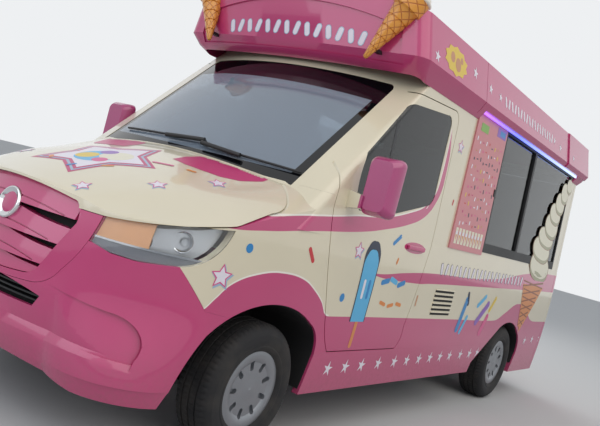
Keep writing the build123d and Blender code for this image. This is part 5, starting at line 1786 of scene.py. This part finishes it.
# %% Light strip
STRIP_ENDS = (-1.84, -4.60)
glow, tree, surface = new_material("led_strip_glow")
_, xyz = place_in_model(tree)
along = add(tree, "MapRange", {"Value": (xyz, "X"), "From Min": ahead(STRIP_ENDS[0]),
                               "From Max": ahead(STRIP_ENDS[1])})
ramp = add(tree, "ValToRGB", {0: (along, 0)})
ends = ramp.color_ramp.elements
ends[0].color = linear("B45BE0")
ends[1].color = linear("BFD4F0")
ends.new(0.30).color = linear("5A6AF0")
feed(tree, surface, {"Emission Color": (ramp, 0), "Emission Strength": 1.6, "Base Color": linear("8088C8")})
finish_piece(box_block(-4595, -1845, 944, 962, 2283, 2303), "led_strip", glow, bevel=0.003)
print("light strip ready")

# %% [markdown]
# The freezer breathes through a louvred vent pressed from sheet: six lips, each over a black block
# that is the painted shadow inside the slot under it. A ray from outside finds the wall, so that each lip
# stands on the leaning side.

# %% Vent and hatch catch
LOUVRES, LOUVRE_FOOT, LOUVRE_PITCH = 6, 790, 33
vent_skin = skin_of_nodes("body_side_left")
for k in range(LOUVRES):
    z = LOUVRE_FOOT + LOUVRE_PITCH * k
    hit, _, _, _ = vent_skin.ray_cast(Vector((ahead(-1.98), 1.2, z * MM)), -ACROSS, 1)
    y = hit.y / MM
    lip = box_block(-2158, -1807, y - 4, y + 11, z + 17, z + 24)
    finish_piece(lip, f"vent_louvre_{k}", cream_enamel, bevel=0.003)
    # black block in each slot: painted shadow, not a part of the vent
    slot = box_block(-2152, -1813, y - 4, y + 1.5, z, z + 17)
    finish_piece(slot, f"vent_shadow_{k}", liner_plastic)
finish_piece(box_block(-2502, -2470, 935, 968, 1755, 1815), "hatch_catch", black_plastic, bevel=0.004)
print("vent ready")

# %% [markdown]
# The rear doors turn on black hinge pins. One leaf carries the lock bar, the handle and a blank
# plate, and a third stop lamp sits above them. The tail faces away from the photograph's camera, so
# the forms are those of a usual van.

# %% Rear trim
TAIL = TAIL_X / MM - 1000 * FRONT_AXLE_X
HINGE_HEIGHTS = (740, 1440, 2080)
HINGE_PROFILE = [(1, 0), (11, 0), (11, 120), (1, 120)]
# Blank acrylic plate, cast in pale yellow.
plate_acrylic = vinyl("acrylic_plate_pale", "E4D9A8")

for side, word in SIDES:
    for k, z in enumerate(HINGE_HEIGHTS):
        place = Vector((TAIL_X + 0.040, side * 0.815, z * MM - 0.06))
        pin = turned_solid("pin", HINGE_PROFILE, place, UP, 20)
        finish_piece(pin, f"rear_hinge_{word}_{k}", black_plastic)
plate = box_block(TAIL + 34, TAIL + 38, -260, 260, 720, 832)
finish_piece(plate, "blank_plate_rear", plate_acrylic, "rear_leaf_left")
tube("rear_lock_bar", [(TAIL_X + .032, .045, .80), (TAIL_X + .032, .045, 2.02)], 9, stainless,
     "rear_leaf_left")
handle = box_block(TAIL + 18, TAIL + 40, 20, 70, 1180, 1340)
finish_piece(handle, "rear_handle", black_plastic, "rear_leaf_left", bevel=0.006)
third = box_block(TAIL + 20, TAIL + 44, -150, 150, 2225, 2250)
finish_piece(third, "third_stop_lamp", red_lens, bevel=0.003)
print("rear trim ready")

# %% [markdown]
# At the end, the CAD nodes that got no coat are listed. Each has to be one that finer pieces stand
# in for, since any other would show its plain CAD colour. Then the bounds of the dressed van are
# found.

# %% Sizes and finish
print("nodes without a coat:", sorted(set(nodes) - coated))
low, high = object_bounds()
